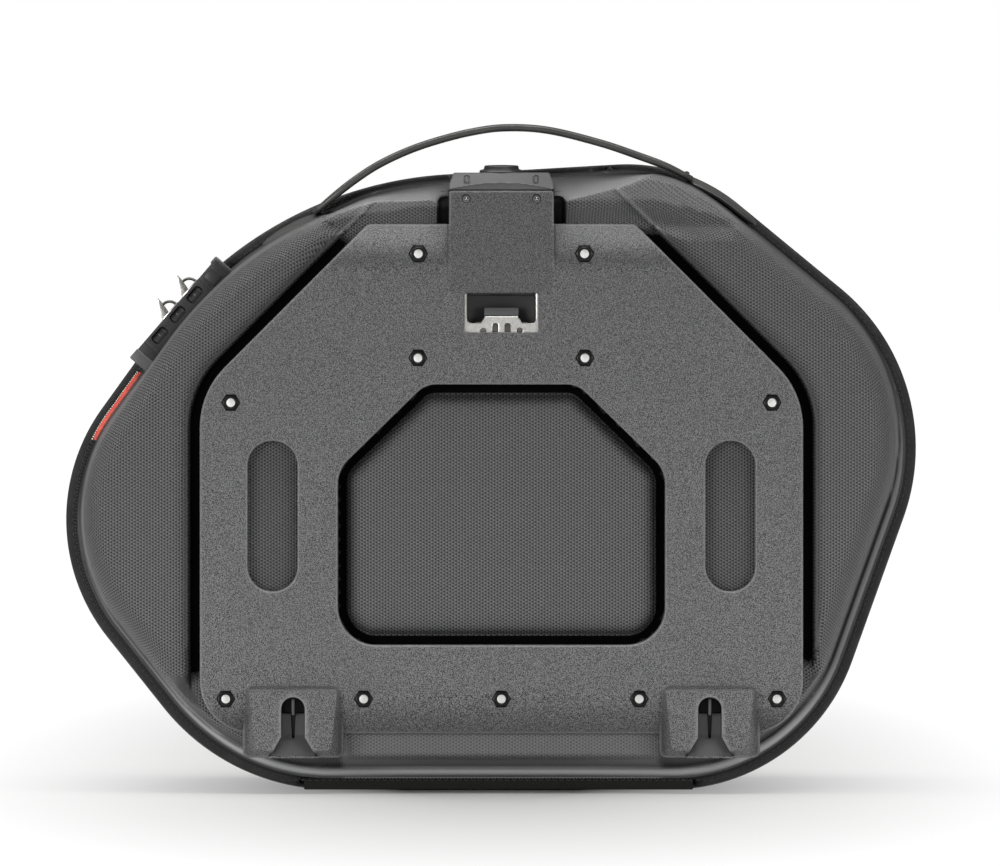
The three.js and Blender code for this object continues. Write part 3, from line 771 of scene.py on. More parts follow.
def metal(name, slot, color, roughness, scratch=0.6):
    """Metal with darker patches and fine lines."""
    s = Shader(name, slot, color, roughness, 1.0)
    place = s.position((1, 1, 0.15))
    lines = s.noise(place, 0.25, 2.0)
    cloud = s.noise(s.position(), 3.0, 3.0)
    dark = tuple(c * 0.72 for c in color)
    s.color(s.mix_color(s.ramp(cloud, 0.35, 0.75, 0.0, scratch), color, dark))
    s.rough(s.ramp(lines, 0.3, 0.7, roughness - 0.07, roughness + 0.12))
    s.bump(lines, 0.015)
    return s.material


def red_rubber():
    s = Shader("red_rubber", "red", (0.62, 0.07, 0.045), 0.42)
    place = s.position()
    cloud = s.noise(place, 5.0, 3.0)
    s.color(s.mix_color(s.ramp(cloud, 0.3, 0.7), (0.55, 0.055, 0.035), (0.74, 0.1, 0.065)))
    s.bump(s.noise(place, 0.6, 2.0), 0.06)
    return s.material


def thread(name, slot, color):
    """Sewing thread: twisted strands."""
    s = Shader(name, slot, color, 0.7, Sheen_Weight=0.2)
    twist = s.ramp(s.wave(s.position(), (1, 1, 1), 0.5), -1.0, 1.0, 0.0, 1.0)
    s.color(s.mix_color(twist, tuple(c * 0.6 for c in color), color))
    s.bump(twist, 0.05)
    return s.material


FABRIC = embossed_fabric()
LINING = lining_fabric()
PLASTIC = speckled_plastic()
SATIN = satin_plastic()
DARK_SATIN = satin_plastic("dark_satin", "smooth", 0.03, 0.36)
LIGHT_SATIN = satin_plastic("light_satin", "smooth", 0.13, 0.5)
TAPE = zip_fabric()
WOVEN = coarse_weave()
RUBBER = strap_rubber()
STEEL = metal("zinc_steel", "bright_steel", (0.66, 0.65, 0.62), 0.3)
BOLT_STEEL = metal("bolt_steel", "bright_steel", (0.78, 0.78, 0.76), 0.36, 0.25)
BLACK_STEEL = metal("black_steel", "black_steel", (0.03, 0.03, 0.03), 0.38)
COLLAR = metal("grey_collar", "bright_steel", (0.09, 0.09, 0.092), 0.4)
RED = red_rubber()
DARK_THREAD = thread("dark_thread", "strap", (0.035, 0.035, 0.034))
CAP_PLASTIC = satin_plastic("cap_plastic", "moulded", 0.075, 0.46)
SHADE = satin_plastic("shade_fabric", "shell", 0.002, 0.9, 0.02)
BUTTON_PLASTIC = satin_plastic("button_plastic", "smooth", 0.014, 0.42)
PITCH = satin_plastic("pitch_plastic", "smooth", 0.008, 0.5)
LOCK_PLASTIC = satin_plastic("lock_plastic", "smooth", 0.02, 0.4)
DARK_STEEL = metal("dark_ring_steel", "bright_steel", (0.12, 0.118, 0.112), 0.36)
PALE_THREAD = thread("pale_thread", "red", (0.75, 0.72, 0.62))

# ---------------------------------------------------------------- rear shell
# The raised part isn't concentric with the rim: it reaches further out along the top.
RAISED_INSETS = (15.0, 12.8, 6.9, 6.6, 7.3, 11.0)  # bottom, then counter-clockwise
RAISED = offset_edges(BAG, RAISED_INSETS)
RAISED_FOOT = -2.2  # where the raised part's wall meets the bead
SHELL_INSET = 5.85  # the shell's edge, from the bag's outline
# Depth against distance: rim, stitched groove and smooth bead, from the bag's outline.
RIM_PROFILE = curve_through(
    [(5.8, RIM_Y), (6.3, -52), (6.8, -57), (7.6, -61.5)]
    + [(9.2, -63.8), (11.0, -63.2), (12.6, -60.0), (13.6, -58.6)]
)
# The raised part's wall and rounded edge, from its own outline.
RAISED_PROFILE = curve_through(
    [(-3.2, -58), (-1.6, -63), (0, -74), (1.2, -84), (2.6, -90)]
    + [(4.8, -94.6), (7.6, -97.4), (11, WING_Y), (18, WING_Y)]
)
# The wall of the plate's bed, from the plate's edge outwards.
BED_PROFILE = curve_through(
    [(5.0, BED_Y), (5.6, -89.5), (6.2, -92.2), (7.2, -94.8)]
    + [(8.8, -97), (11, -98.3), (13.5, WING_Y), (16, -99)]
)
# The raised panel inside the plate's window, from the panel's edge inwards.
BOSS_PROFILE = curve_through(
    [(-1.2, BED_Y), (-0.5, -89.2), (0.2, -91.6), (1.3, -94.6)]
    + [(3.0, -97), (5.2, -98.4), (8, -99), (24, -99.5)]
)
# Beside the column the textured part stays at the height of the plate's bed.
TOP_Y = BED_Y - 0.9
TOP_LEFT = PLATE_X - 33.2
TOP_RIGHT = PLATE_X + 33.2
TOPS = [
    [(TOP_RIGHT, 290, 1), (150, 290, 1), (150, 322, 1), (103, 328, 9), (TOP_RIGHT, 312, 5)],
    [(-112, 290, 1), (TOP_LEFT, 290, 1), (TOP_LEFT, 313, 5), (-62, 310.4, 60), (-97, 300, 1)],
]
CREST_Z = 298.3  # where the right wing rises; the left wing's line slopes
# The wings end above the base, where the shell stays as low as the plate's bed.
WING_FOOT = 72
RIGHT_FOOT_RISE = 11
FOOT_PROFILE = curve_through(
    [(54, BED_Y), (56.5, -90.2), (59, -94.5), (62, -97), (66, -98.2), (WING_FOOT, WING_Y)]
)
# Where the shell is cut back behind the release lock's column.
NOTCHES = [
    rectangle(PLATE_X, 320, COLUMN_HALF - 0.6, 24, 2),
    rectangle(PLATE_X, 302, COLUMN_HALF + 5.4, 11.2, 3),
]


def wing_crest(points):
    """Distance below the line where the wings rise from the top part."""
    right = CREST_Z - points[:, 1]
    left = (points[:, 0] + 91.4) * -0.536 - (points[:, 1] - 303.5) * 0.844
    return np.where(points[:, 0] > PLATE_X, right, left)


def groove_distance(points):
    """Distance into the dark grooves round the plate and inside its window."""
    beside = 6.0 + inside_distance(BED, points)
    within = np.minimum(inside_distance(WINDOW, points) + 3, 5.4 - inside_distance(WINDOW, points))
    beside = np.minimum(beside, 11.6 - beside)
    # The grooves end at the wings' feet and at the crest.
    foot = np.where(points[:, 0] > 0, 65, 58)
    beside = np.minimum(beside, np.minimum((points[:, 1] - foot) / 4, (wing_crest(points) + 1) / 5))
    return np.maximum(beside, within)


def shell_height(points):
    """Y of the rear shell's face: the foremost of its parts, then what is cut back from it."""
    base = 1 - smoothstep(25, 70, points[:, 1])
    outer = inside_distance(BAG, points)
    raised = (inside_distance(RAISED, points) + 1.6) / (1 + 0.8 * base) - 1.6
    rim = RIM_PROFILE(outer)
    wing = RAISED_PROFILE(np.minimum(raised, wing_crest(points) + 2.4))
    top = np.maximum(inside_distance(TOPS[0], points), inside_distance(TOPS[1], points))
    band = np.clip(outer - 7, 0, 40)
    share = band / np.maximum(band + np.maximum(-top, 0), 0.1)
    # The flat part beside the column, with a slope from its edge down to the rim.
    level = np.maximum(RAISED_PROFILE(raised), TOP_Y)
    level = level + (np.maximum(level, -61.5 - 25 * share**1.3) - level) * (top < 0)
    level = level + fillet(np.maximum(top, 0), 2.2) * (top >= 0)
    y = np.minimum(rim, np.minimum(wing, level))
    # The wings' feet, the plate's bed, the panel in its window and the pads in its slots.
    above = points[:, 1] - np.where(points[:, 0] > 0, RIGHT_FOOT_RISE, 0)
    y = np.where(above < WING_FOOT, np.maximum(y, FOOT_PROFILE(above)), y)
    beside = -inside_distance(BED, points)
    y = np.where(beside < 16, np.maximum(y, BED_PROFILE(beside)), y)
    boss = inside_distance(WINDOW, points) - BOSS_INSET
    y = np.where(boss > -1.2, BOSS_PROFILE(boss), y)
    for slot in SLOTS:
        pad = inside_distance(slot, points) + 2.5
        y = y + (-95.0 - y) * smoothstep(-1.0, 2.0, pad)
    notch = np.maximum(inside_distance(NOTCHES[0], points), inside_distance(NOTCHES[1], points))
    return y + (np.maximum(y, -64.2) - y) * smoothstep(-1.2, 0.8, notch)


def shell_loops():
    """The lines that the rear shell's mesh follows, close together where its height turns."""
    loops = outlines(BAG, (5.9, 6.2, 6.6, 7.1, 7.7, 8.5, 9.3, 10.1, 11, 11.8, 12.6, 13.5), 2.0)
    loops += outlines(RAISED, (-2.4, -1.6, -0.8, 0, 0.7, 1.4, 2.1, 3, 4.2, 5.6, 7.4, 9.6, 12, 15), 2.0)
    loops = [loop for loop in loops if inside_distance(BAG, loop).min() > SHELL_INSET + 0.03]
    loops += outlines(BED, (-4.4, -5.0, -5.4, -5.8, -6.3, -6.9, -7.7, -8.8, -10.2, -12, -15), 6.0)
    boss_steps = (-1.9, -1.2, -0.8, -0.3, 0.2, 0.8, 1.6, 2.8, 4.4, 7)
    loops += outlines(WINDOW, [BOSS_INSET + k for k in boss_steps], 9.0)
    for slot in SLOTS:
        loops += outlines(slot, (-3.5, -2.5, -1.5, -0.5), 12.0)
    for notch in NOTCHES:
        loops += outlines(notch, (-1.2, -0.5, 0.1, 0.8), 20.0)
    for top in TOPS:
        loops += outlines(top, (-1.6, -0.6, 0.1, 0.8, 1.6, 2.4), 10.0)
    return loops


def crest_points():
    """Points on both sides of the lines where the wings rise."""
    points = []
    for low, high in [(PLATE_X + 60, CREST_Z), (150, CREST_Z)], [(-110, 315.3), (-68, 288.6)]:
        along = np.linspace(low, high, 30)
        for k in (-2.4, -1.2, 0, 1.2, 2.4, 4.2, 6.4, 9):
            points.extend(along - np.array((0, k)))
    return np.array(points)


def rear_shell():
    """The rear half's skin, with what the fabric's shader needs on each vertex."""
    fill = np.vstack((grid_points(shell_low.x, shell_high.x, 8, 326, 4.0), crest_points()))
    vertices, faces, front = relief(
        shell_loops(),
        fill,
        lambda p: inside_distance(BAG, p) - SHELL_INSET,
        shell_height,
        lambda x, z: ZIP_Y - 0.6,
        3.5,
    )
    flat = vertices[:, [0, 2]].copy()
    x, z = flat[:, 0], flat[:, 1]
    outer = inside_distance(BAG, flat)
    lift = 2.5 * smoothstep(285, 312, z) * (1 - smoothstep(90, 125, x)) * smoothstep(-95, -60, x)
    lift = (lift - 0.7 * smoothstep(-120, -160, x)) * (1 - smoothstep(7, 13, outer))
    inward = [10 * (inside_distance(BAG, flat + np.array(step)) - outer) for step in ((0.1, 0), (0, 0.1))]
    # The weave's coordinates are unfolded where the shell turns into its wall.
    wall = (vertices[:, 1] - WING_Y) * (1 - smoothstep(22, 30, outer)) * smoothstep(62, 85, z)
    cloth = x - inward[0] * wall, z - inward[1] * wall
    # The skirt behind the front is pushed out a little, to close the slit beside the zip's tape.
    lift = np.where(np.arange(len(flat)) < len(front), lift, np.maximum(lift, 0) + 0.9)
    vertices[:, 0] -= inward[0] * lift
    vertices[:, 2] -= inward[1] * lift
    obj = make_object("rear_shell_look", vertices, faces, None, FABRIC, 55.0)
    # The textured area: the raised part, the flat part beside the column and the base's corners.
    raised = inside_distance(RAISED, flat)
    base = 1 - smoothstep(20, 75, z)
    textured = np.minimum(raised - 0.8 * base, wing_crest(flat) + 2.4)
    between = 83 - np.abs(x - PLATE_X)
    corner = np.minimum(z - 16.4, np.maximum(3.6 + inside_distance(PLATE, flat), between))
    textured = np.where(z < 62, np.maximum(np.minimum(textured, corner), textured - 60), textured)
    for top in TOPS:
        textured = np.maximum(textured, np.minimum(inside_distance(top, flat), raised))
    # Painted highlight on the lip of the grooves beside the plate, where the weave is also weaker.
    lip = np.exp(-(((-inside_distance(BED, flat) - 7.1) / 0.8) ** 2)) * (z > 75)
    # The smooth piping at the upper left also gets a painted highlight.
    piping_highlight = smoothstep(6.6, 7.2, outer) * (1 - smoothstep(8.6, 9.4, outer))
    piping_highlight = piping_highlight * smoothstep(-80, -110, x) * smoothstep(150, 180, z)
    paint(obj, "weave", smoothstep(0.1, 1.1, textured) * (1 - 0.7 * lip) * (1 - piping_highlight))
    paint(obj, "across", cloth[0])
    paint(obj, "up", cloth[1])
    rim = 1 - smoothstep(0.0, 0.6, np.abs(RAISED_FOOT - raised) - 0.4)
    # Painted shade: the grooves, the pads in the slots and the line round the raised part.
    groove_shade = smoothstep(0.0, 1.0, groove_distance(flat))
    sunk = np.maximum(*(inside_distance(slot, flat) for slot in SLOTS)) > -3
    ring = (0.72 - 0.4 * base) * rim * (outer < 16)
    paint(obj, "groove", np.maximum(np.maximum(groove_shade, 0.14 * sunk), ring))
    # Painted highlights: the smooth bead, its crest at the lower left, the piping above and the strip under
    # the plate, which lies in shade.
    # The bead's painted highlight is stronger to the right, at the base and at the top.
    bright = 0.05 + 0.14 * smoothstep(60, 160, x) + 0.72 * base + 0.6 * smoothstep(285, 310, z)
    inner = 10.5 + 8 * smoothstep(300, 315, z)
    bead = bright * smoothstep(6.2, 8.0, outer) * (1 - smoothstep(0, 1.7, outer - inner))
    # Painted light on the woven strip under the plate, which lies in shade.
    below = 0.42 * (z < 36) * (between > 0)
    crest_highlight = 0.29 * np.exp(-((outer - 8.7) ** 2))
    crest_highlight = crest_highlight * smoothstep(-60, -100, x) * smoothstep(225, 195, z)
    paint(obj, "bead", np.maximum(bead + crest_highlight, 0.4 * lip + 0.3 * piping_highlight + below))
    for material in (LINING, SHADE, LINING):
        obj.data.materials.append(material)
    # The bottoms of the grooves take the third material, black as a stand-in for their shade, and what is
    # inside the bag the lining.
    groove_shade = groove_distance(flat) > 0.9
    for polygon in obj.data.polygons:
        if all(groove_shade[v] for v in polygon.vertices):
            polygon.material_index = 2
    thickened(obj)
    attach(obj, "rear")
    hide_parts("rear_shell")


rear_shell()


# ---------------------------------------------------------------- mounting plate
SOCKET_X = 109.6
POCKET_RADIUS = 4.95
COLUMN_BACK_Y = -66.2


def socket_mouth(inset):
    """The keyhole: a round-topped slot with a flared mouth, about x = 0."""
    half = 6.15 - inset
    arch = [(half * math.cos(math.pi * k / 12), 44.5 + half * math.sin(math.pi * k / 12)) for k in range(13)]
    flare = 12.15 - inset
    low = 10.0 if inset == 0 else plate_low.z + inset
    return [(-half, 29.6), (-flare, 19.5), (-flare, low), (flare, low), (flare, 19.5), (half, 29.6), *arch]


def loop_distance(loop, points):
    """Distance from a closed line of points, negative inside it."""
    loop = np.array(loop)
    best = np.full(len(points), 1e9)
    inside = np.zeros(len(points), bool)
    for a, b in zip(loop, np.roll(loop, -1, axis=0)):
        along = b - a
        t = np.clip(((points - a) @ along) / (along @ along), 0, 1)
        best = np.minimum(best, np.linalg.norm(points - a - t[:, None] * along, axis=1))
        crosses = (a[1] > points[:, 1]) != (b[1] > points[:, 1])
        rise = b[1] - a[1] if b[1] != a[1] else 1e-9
        inside ^= crosses & (points[:, 0] < a[0] + (points[:, 1] - a[1]) * along[0] / rise)
    return np.where(inside, -best, best)


MOUTHS = [np.array([(PLATE_X + s * SOCKET_X + x, z) for x, z in socket_mouth(0)]) for s in (-1, 1)]


def plate_base(z):
    """The plate's face, which turns back towards its top and its bottom."""
    top = 12.5 * np.clip((z - 272) / 27.5, 0, 1) ** 2.1
    bottom = 8 * np.clip((54 - z) / 23, 0, 1) ** 2
    return PLATE_Y + top + bottom


def hexagon_distance(centre, points):
    """Distance inside a bolt's pocket, a hexagon with two corners level with its centre."""
    away = np.abs(points - np.array(centre))
    flat = POCKET_RADIUS * math.sqrt(3) / 2
    return flat - np.maximum(away[:, 1], away[:, 0] * math.sqrt(3) / 2 + away[:, 1] / 2)


def plate_edge(points):
    """Distance inside the plate's material, from its outline, window and slots."""
    edge = np.maximum(inside_distance(PLATE, points), inside_distance(COLUMN, points))
    for hole in (WINDOW, *SLOTS):
        edge = np.minimum(edge, -inside_distance(hole, points))
    return edge


def plate_inside(points):
    """Distance inside the plate's material, with its smallest openings too."""
    edge = plate_edge(points)
    for hole in (LATCH, *SCREWS):
        edge = np.minimum(edge, -inside_distance(hole, points))
    for centre in BOLTS:
        edge = np.minimum(edge, -hexagon_distance(centre, points))
    for mouth in MOUTHS:
        edge = np.minimum(edge, loop_distance(mouth, points))
    return edge


def plate_height(points):
    y = plate_base(points[:, 1])
    column = inside_distance(COLUMN, points)
    y = y + (np.minimum(y, PLATE_Y) - y) * smoothstep(-1.0, 0.0, column)
    y = y + fillet(plate_edge(points), 1.3)
    y = y + fillet(-inside_distance(LATCH, points), 0.6)
    for centre in BOLTS:
        y = y + fillet(-hexagon_distance(centre, points), 0.5)
    return y


def mounting_plate():
    """The plate with its column, window, slots and bolt pockets."""
    rings = (0.0, 0.15, 0.4, 0.8, 1.3, 2.2)
    holes = [-k for k in rings]
    loops = outlines(PLATE, rings, 5.0) + outlines(COLUMN, (-1.0, -0.5, *rings), 20.0)
    for hole in (WINDOW, *SLOTS):
        loops += outlines(hole, holes, 7.0)
    loops += outlines(LATCH, (0.0, -0.3, -0.7), 30.0)
    loops += [outline(hole, 0.0, step=30.0) for hole in SCREWS]
    loops += MOUTHS
    loops += [hexagon(x, z, POCKET_RADIUS + k) for x, z in BOLTS for k in (0.0, 0.3, 0.65)]
    fill = grid_points(plate_low.x, plate_high.x, plate_low.z, plate_high.z, 4.0)
    back = lambda x, z: COLUMN_BACK_Y if z > 300 else BACK_Y
    vertices, faces, flat = relief(loops, fill, plate_inside, plate_height, back)
    obj = make_object("mounting_plate_look", vertices, faces, "rear", PLASTIC, 32.0, ["mounting_plate"])
    z = flat[:, 1]
    edge = plate_edge(flat)
    column = inside_distance(COLUMN, flat)
    beside = column < 0
    # Painted highlights: a thin light line along the plate's rounded edges and a light band on its top bend
    # beside the column.
    wear_and_edge_highlight = 0.5 * smoothstep(0.2, 0.4, edge) * (1 - smoothstep(0.5, 1.2, edge))
    paint(obj, "edge", wear_and_edge_highlight + 0.09 * beside * smoothstep(286, 292, z))
    # Painted shade: a dark band under the top bend beside the column and across the bottom, most at the
    # corners; the column's face a little darker.
    shade_and_tone = 0.42 * beside * np.exp(-(((z - 281) / 4.5) ** 2)) + 0.2 * (column > 1)
    corner = np.abs(flat[:, 0] - PLATE_X) > 83
    paint(obj, "shade_and_tone", shade_and_tone + np.where(corner, 0.5, 0.25) * smoothstep(50, 34, z))


mounting_plate()


# ---------------------------------------------------------------- hook sockets
SOCKET_HALF = 26.6
INSERT_LOW = 19.4
INSERT_HIGH = 41.7


def trapezium(x, low, low_half, high, high_half, radius):
    """Corners of an outline that is level at two heights."""
    return [
        (x - low_half, low, radius),
        (x + low_half, low, radius),
        (x + high_half, high, radius),
        (x - high_half, high, radius),
    ]


def hook_socket(side):
    """A flared housing with a keyhole mouth, over an insert with a slot for the hook."""
    name = "left" if side < 0 else "right"
    centre = PLATE_X + side * SOCKET_X
    outer = trapezium(centre, 18.5, SOCKET_HALF, 59, SOCKET_HALF, 4)
    face = trapezium(centre, 22.7, 19.8, 55.5, 23.4, 3)
    mouth = np.array([(centre + x, z) for x, z in socket_mouth(0)])

    def height(points):
        to_face = -inside_distance(face, points)
        to_edge = np.maximum(inside_distance(outer, points), 0)
        t = np.clip(to_face / np.maximum(to_face + to_edge, 1e-6), 0, 1)
        y = SOCKET_Y + 10.5 * (t * 0.7 + smoothstep(0, 1, t) * 0.3)
        groove = smoothstep(54.0, 55.2, points[:, 1]) * (1 - smoothstep(56.4, 57.4, points[:, 1]))
        y = y + 2.4 * groove * smoothstep(0.4, 2.0, to_edge)
        return y + fillet(loop_distance(mouth, points), 0.8) + fillet(to_edge, 0.7)

    def inside(points):
        return np.minimum(inside_distance(outer, points), loop_distance(mouth, points))

    middle = mouth.mean(axis=0)
    loops = outlines(outer, (0, 0.3, 0.7, 1.6, 2.6), 18.0) + outlines(face, (-1.6, -0.8, 0, 0.6), 18.0)
    loops += [mouth, middle + (mouth - middle) * 1.03, middle + (mouth - middle) * 1.07]
    for z in (54.0, 54.6, 55.2, 56.4, 57.0, 57.4):
        loops.append(np.array([(centre - 25, z), (centre, z + 0.01), (centre + 25, z)]))
    fill = grid_points(centre - 27, centre + 27, 18.5, 59, 2.0)
    vertices, faces, flat = relief(loops, fill, inside, height, lambda x, z: BACK_Y)
    obj = make_object(f"hook_socket_{name}", vertices, faces, "rear", PLASTIC, 32.0, ["mounting_plate"])
    # Painted highlights along the rim and the mouth's edge.
    rim = np.abs(inside_distance(outer, flat) - 0.5) + 0.2
    edge = np.minimum(np.abs(loop_distance(mouth, flat) - 0.5), rim)
    paint(obj, "edge", 0.6 * (1 - smoothstep(0.1, 0.8, edge)))
    # Painted shade on the lower flanks and in the groove under the top edge.
    z = flat[:, 1]
    sides = SOCKET_HALF - np.abs(flat[:, 0] - centre)
    shade_and_tone = 0.6 * (1 - smoothstep(1.0, 6.0, sides)) * smoothstep(52, 34, z)
    paint(obj, "shade_and_tone", shade_and_tone + 0.5 * smoothstep(54.4, 55.2, z) * (1 - smoothstep(57.0, 58.0, z)))
    hook_insert(name, centre)


def hook_insert(name, centre):
    """The sloping floor inside a socket, its narrow slot and the small parts round it."""
    floor_loop = np.array([(centre + x, z) for x, z in socket_mouth(0.25)])
    key = [(centre - 0.7, 28.6, 0.6), (centre + 0.7, 28.6, 0.6)]
    key += [(centre + 1.5, 44, 0.3), (centre - 1.5, 44, 0.3)]

    def floor_height(points):
        ramp = np.clip((30.5 - points[:, 1]) / 11.5, 0, 1)
        return -97.2 - 6.4 * ramp

    def floor_inside(points):
        edge = np.minimum(-loop_distance(floor_loop, points), -inside_distance(key, points))
        return np.minimum(edge, np.minimum(INSERT_HIGH - points[:, 1], points[:, 1] - INSERT_LOW))

    shelf = trapezium(centre, INSERT_LOW, 14, INSERT_HIGH, 14, 0.1)
    loops = [floor_loop, *outlines(key, (0, -0.3), 30.0), outline(shelf, 0, step=90)]
    fill = grid_points(centre - 12, centre + 12, 19, 41.5, 0.8)
    vertices, faces, _ = relief(loops, fill, floor_inside, floor_height, lambda x, z: -92.0, 0.8)
    node = f"hook_insert_{name}"
    make_object(node + "_look", vertices, faces, "rear", CAP_PLASTIC, 32.0, [node])
    # Black blocks at the back and the top of the mouth stand in for the shade deep inside it.
    for part, size, at, material in (
        ("fin", (1.5, 6.0, 8.6), (centre, -99.6, 45.4), CAP_PLASTIC),
        ("lip", (25.5, 9.0, 1.1), (centre, -100.4, 19.1), PLASTIC),
        ("back", (13.0, 3.4, 22.0), (centre, -92.4, 40.0), PITCH),
        ("arch_shade", (12.0, 8.0, 0.5), (centre, -98.0, 50.1), PITCH),
    ):
        add(f"hook_{part}_{name}", block(size, at, 0.35), "rear", material)


hook_socket(-1)
hook_socket(1)

# ---------------------------------------------------------------- plate fasteners
FACE_FRONT = Matrix.Rotation(math.pi / 2, 4, "X")  # local Z points to -Y


def fastener(index, centre):
    """A nut with its collar and a dark disc as the shade in its pocket, on a bolt from inside the bag."""
    x, z = centre
    number = f"{index + 1:02d}"
    place = Matrix.Translation((x, 0, z)) @ FACE_FRONT
    sides = extruded(hexagon(0, 0, 4.6), -101.4, -97.9, 0.35)
    at = Matrix.Translation((x, 0, z))
    nut = add(f"nut_{number}", sides, "rear", BLACK_STEEL, at, [f"plate_nut_{number}"], 35.0)
    collar = [(2.7, 97.9), (2.7, 101.9), (2.95, 102.15), (3.3, 102.15), (3.6, 101.8), (3.6, 101.2)]
    end = [(2.5, 79), (2.5, 101.7), (2.25, 102.1), (1.2, 102.2), (0, 102.2)]
    head = [(0, 78.9), (3.2, 79.0), (3.9, 80.0), (3.95, 81.2), (2.4, 81.3)]
    lathe(f"nut_collar_{number}", collar, place, None, BLACK_STEEL, sides=32).parent = nut
    bolt = lathe(f"bolt_{number}", end, place, "rear", BOLT_STEEL, [f"plate_bolt_{number}"], 32)
    lathe(f"bolt_head_{number}", head, place, None, STEEL, sides=24).parent = bolt
    # A dark disc on the pocket's floor stands in for the shade round the nut.
    dark = [(0, 97.7), (5.2, 97.7)]
    lathe(f"pocket_shade_{number}", dark, place, None, DARK_SATIN, sides=24).parent = nut


for index, centre in enumerate(BOLTS):
    fastener(index, centre)

# ---------------------------------------------------------------- release lock and latch
key_low, key_high = box_mm("key_cylinder")
BUTTON_Y = (key_low.y + key_high.y) / 2
SCREW_Z = 312.6
CAP = on_plate(
    (-27.6, 317.4, 0.5),
    (27.6, 317.4, 0.5),
    (27.2, 321, 3),
    (25.2, 326.5, 1),
    (-25.2, 326.5, 1),
    (-27.2, 321, 3),
)


def arched(x, foot, spring, half, rise):
    """A closed line up one side, over an arch and down the other."""
    arch = [(half * math.cos(a), spring + rise * math.sin(a)) for a in np.linspace(0, math.pi, 9)]
    return np.array([(x + u, z) for u, z in [(half, foot), *arch, (-half, foot)]])


def lock_cap():
    """The cap's face slopes back above an arched lip; two small catches are marked on it."""
    catches = []
    for side in (-1, 1):
        catches.append(arched(PLATE_X + side * 18.2, 320.9, 323.6, 1.1, 1.1))

    def height(points):
        across = np.clip(np.abs(points[:, 0] - PLATE_X) / 26, 0, 1)
        lip = 318.0 + 3.0 * np.cos(across * math.pi / 2) ** 0.9
        above = points[:, 1] - lip
        y = PLATE_Y + 0.9 - 0.9 * smoothstep(-0.4, 0.1, above) + 1.75 * np.clip(above, 0, 20)
        for catch in catches:
            y = y + 1.3 * (1 - smoothstep(0.15, 0.45, np.abs(loop_distance(catch, points))))
        return y + fillet(inside_distance(CAP, points), 0.6)

    loops = outlines(CAP, (0, 0.2, 0.6), 20.0) + catches
    fill = grid_points(cap_low.x, cap_high.x, 317.5, 326.5, 0.55)
    inside = lambda points: inside_distance(CAP, points)
    vertices, faces, _ = relief(loops, fill, inside, height, lambda x, z: COLUMN_BACK_Y, 1.0)
    make_object("lock_cap_look", vertices, faces, "rear", CAP_PLASTIC, 32.0, ["lock_cap"])


def release_lock():
    """The button sits a little tilted to the front."""
    at_button = Matrix.Translation((PLATE_X, BUTTON_Y, 327.0)) @ Matrix.Rotation(math.radians(2.5), 4, "X")
    flange = [(3.9, -12), (3.9, -1.1), (10.6, -0.9), (11.5, -0.4), (11.6, 0.3), (11.1, 0.9), (9.6, 1.2)]
    flange += [(9.2, 1.7), (9.1, 2.6), (8.6, 3.2), (5.6, 3.3), (5.2, 2.9), (5.2, 1.0)]
    lathe("lock_button_look", flange, at_button, "release", BUTTON_PLASTIC, ["lock_button"])
    barrel = [(0, 2.6), (1.0, 2.6), (1.2, 3.1), (4.3, 3.2), (4.7, 2.8), (4.7, 1.0)]
    lathe("key_cylinder_look", barrel, at_button, "key", COLLAR, ["key_cylinder"])
    # A black bar stands in for the shade in the key's slot.
    add("key_slot", block((6.4, 1.2, 1.2), (0, 0, 2.9), 0.2), "key", PITCH, at_button)
    for side, name in ((-1, "left"), (1, "right")):
        at = Matrix.Translation((PLATE_X + side * SCREW_X, 0, SCREW_Z))
        head = [(1.2, 98.4), (1.2, 100.9), (2.0, 101.1), (2.1, 101.9)]
        head += [(1.8, 102.3), (0.95, 102.35), (0.8, 101.5), (0, 101.5)]
        # A black cup round each head stands in for the shade in its recess.
        well = [(0, 100.6), (2.5, 100.6), (2.5, 102.2)]
        screw = f"cap_screw_{name}"
        lathe(screw + "_look", head, at @ FACE_FRONT, "rear", SATIN, [screw], 24)
        lathe(screw + "_well", well, at @ FACE_FRONT, "rear", PITCH, sides=24)
        for k in range(3):
            lobe = block((1.3, 0.5, 0.34), (0.75, -101.9, 0), 0.1)
            spin = Matrix.Rotation(math.radians(120 * k + 30), 4, "Y")
            add(f"{screw}_lobe_{k}", lobe, "rear", STEEL, at @ spin)


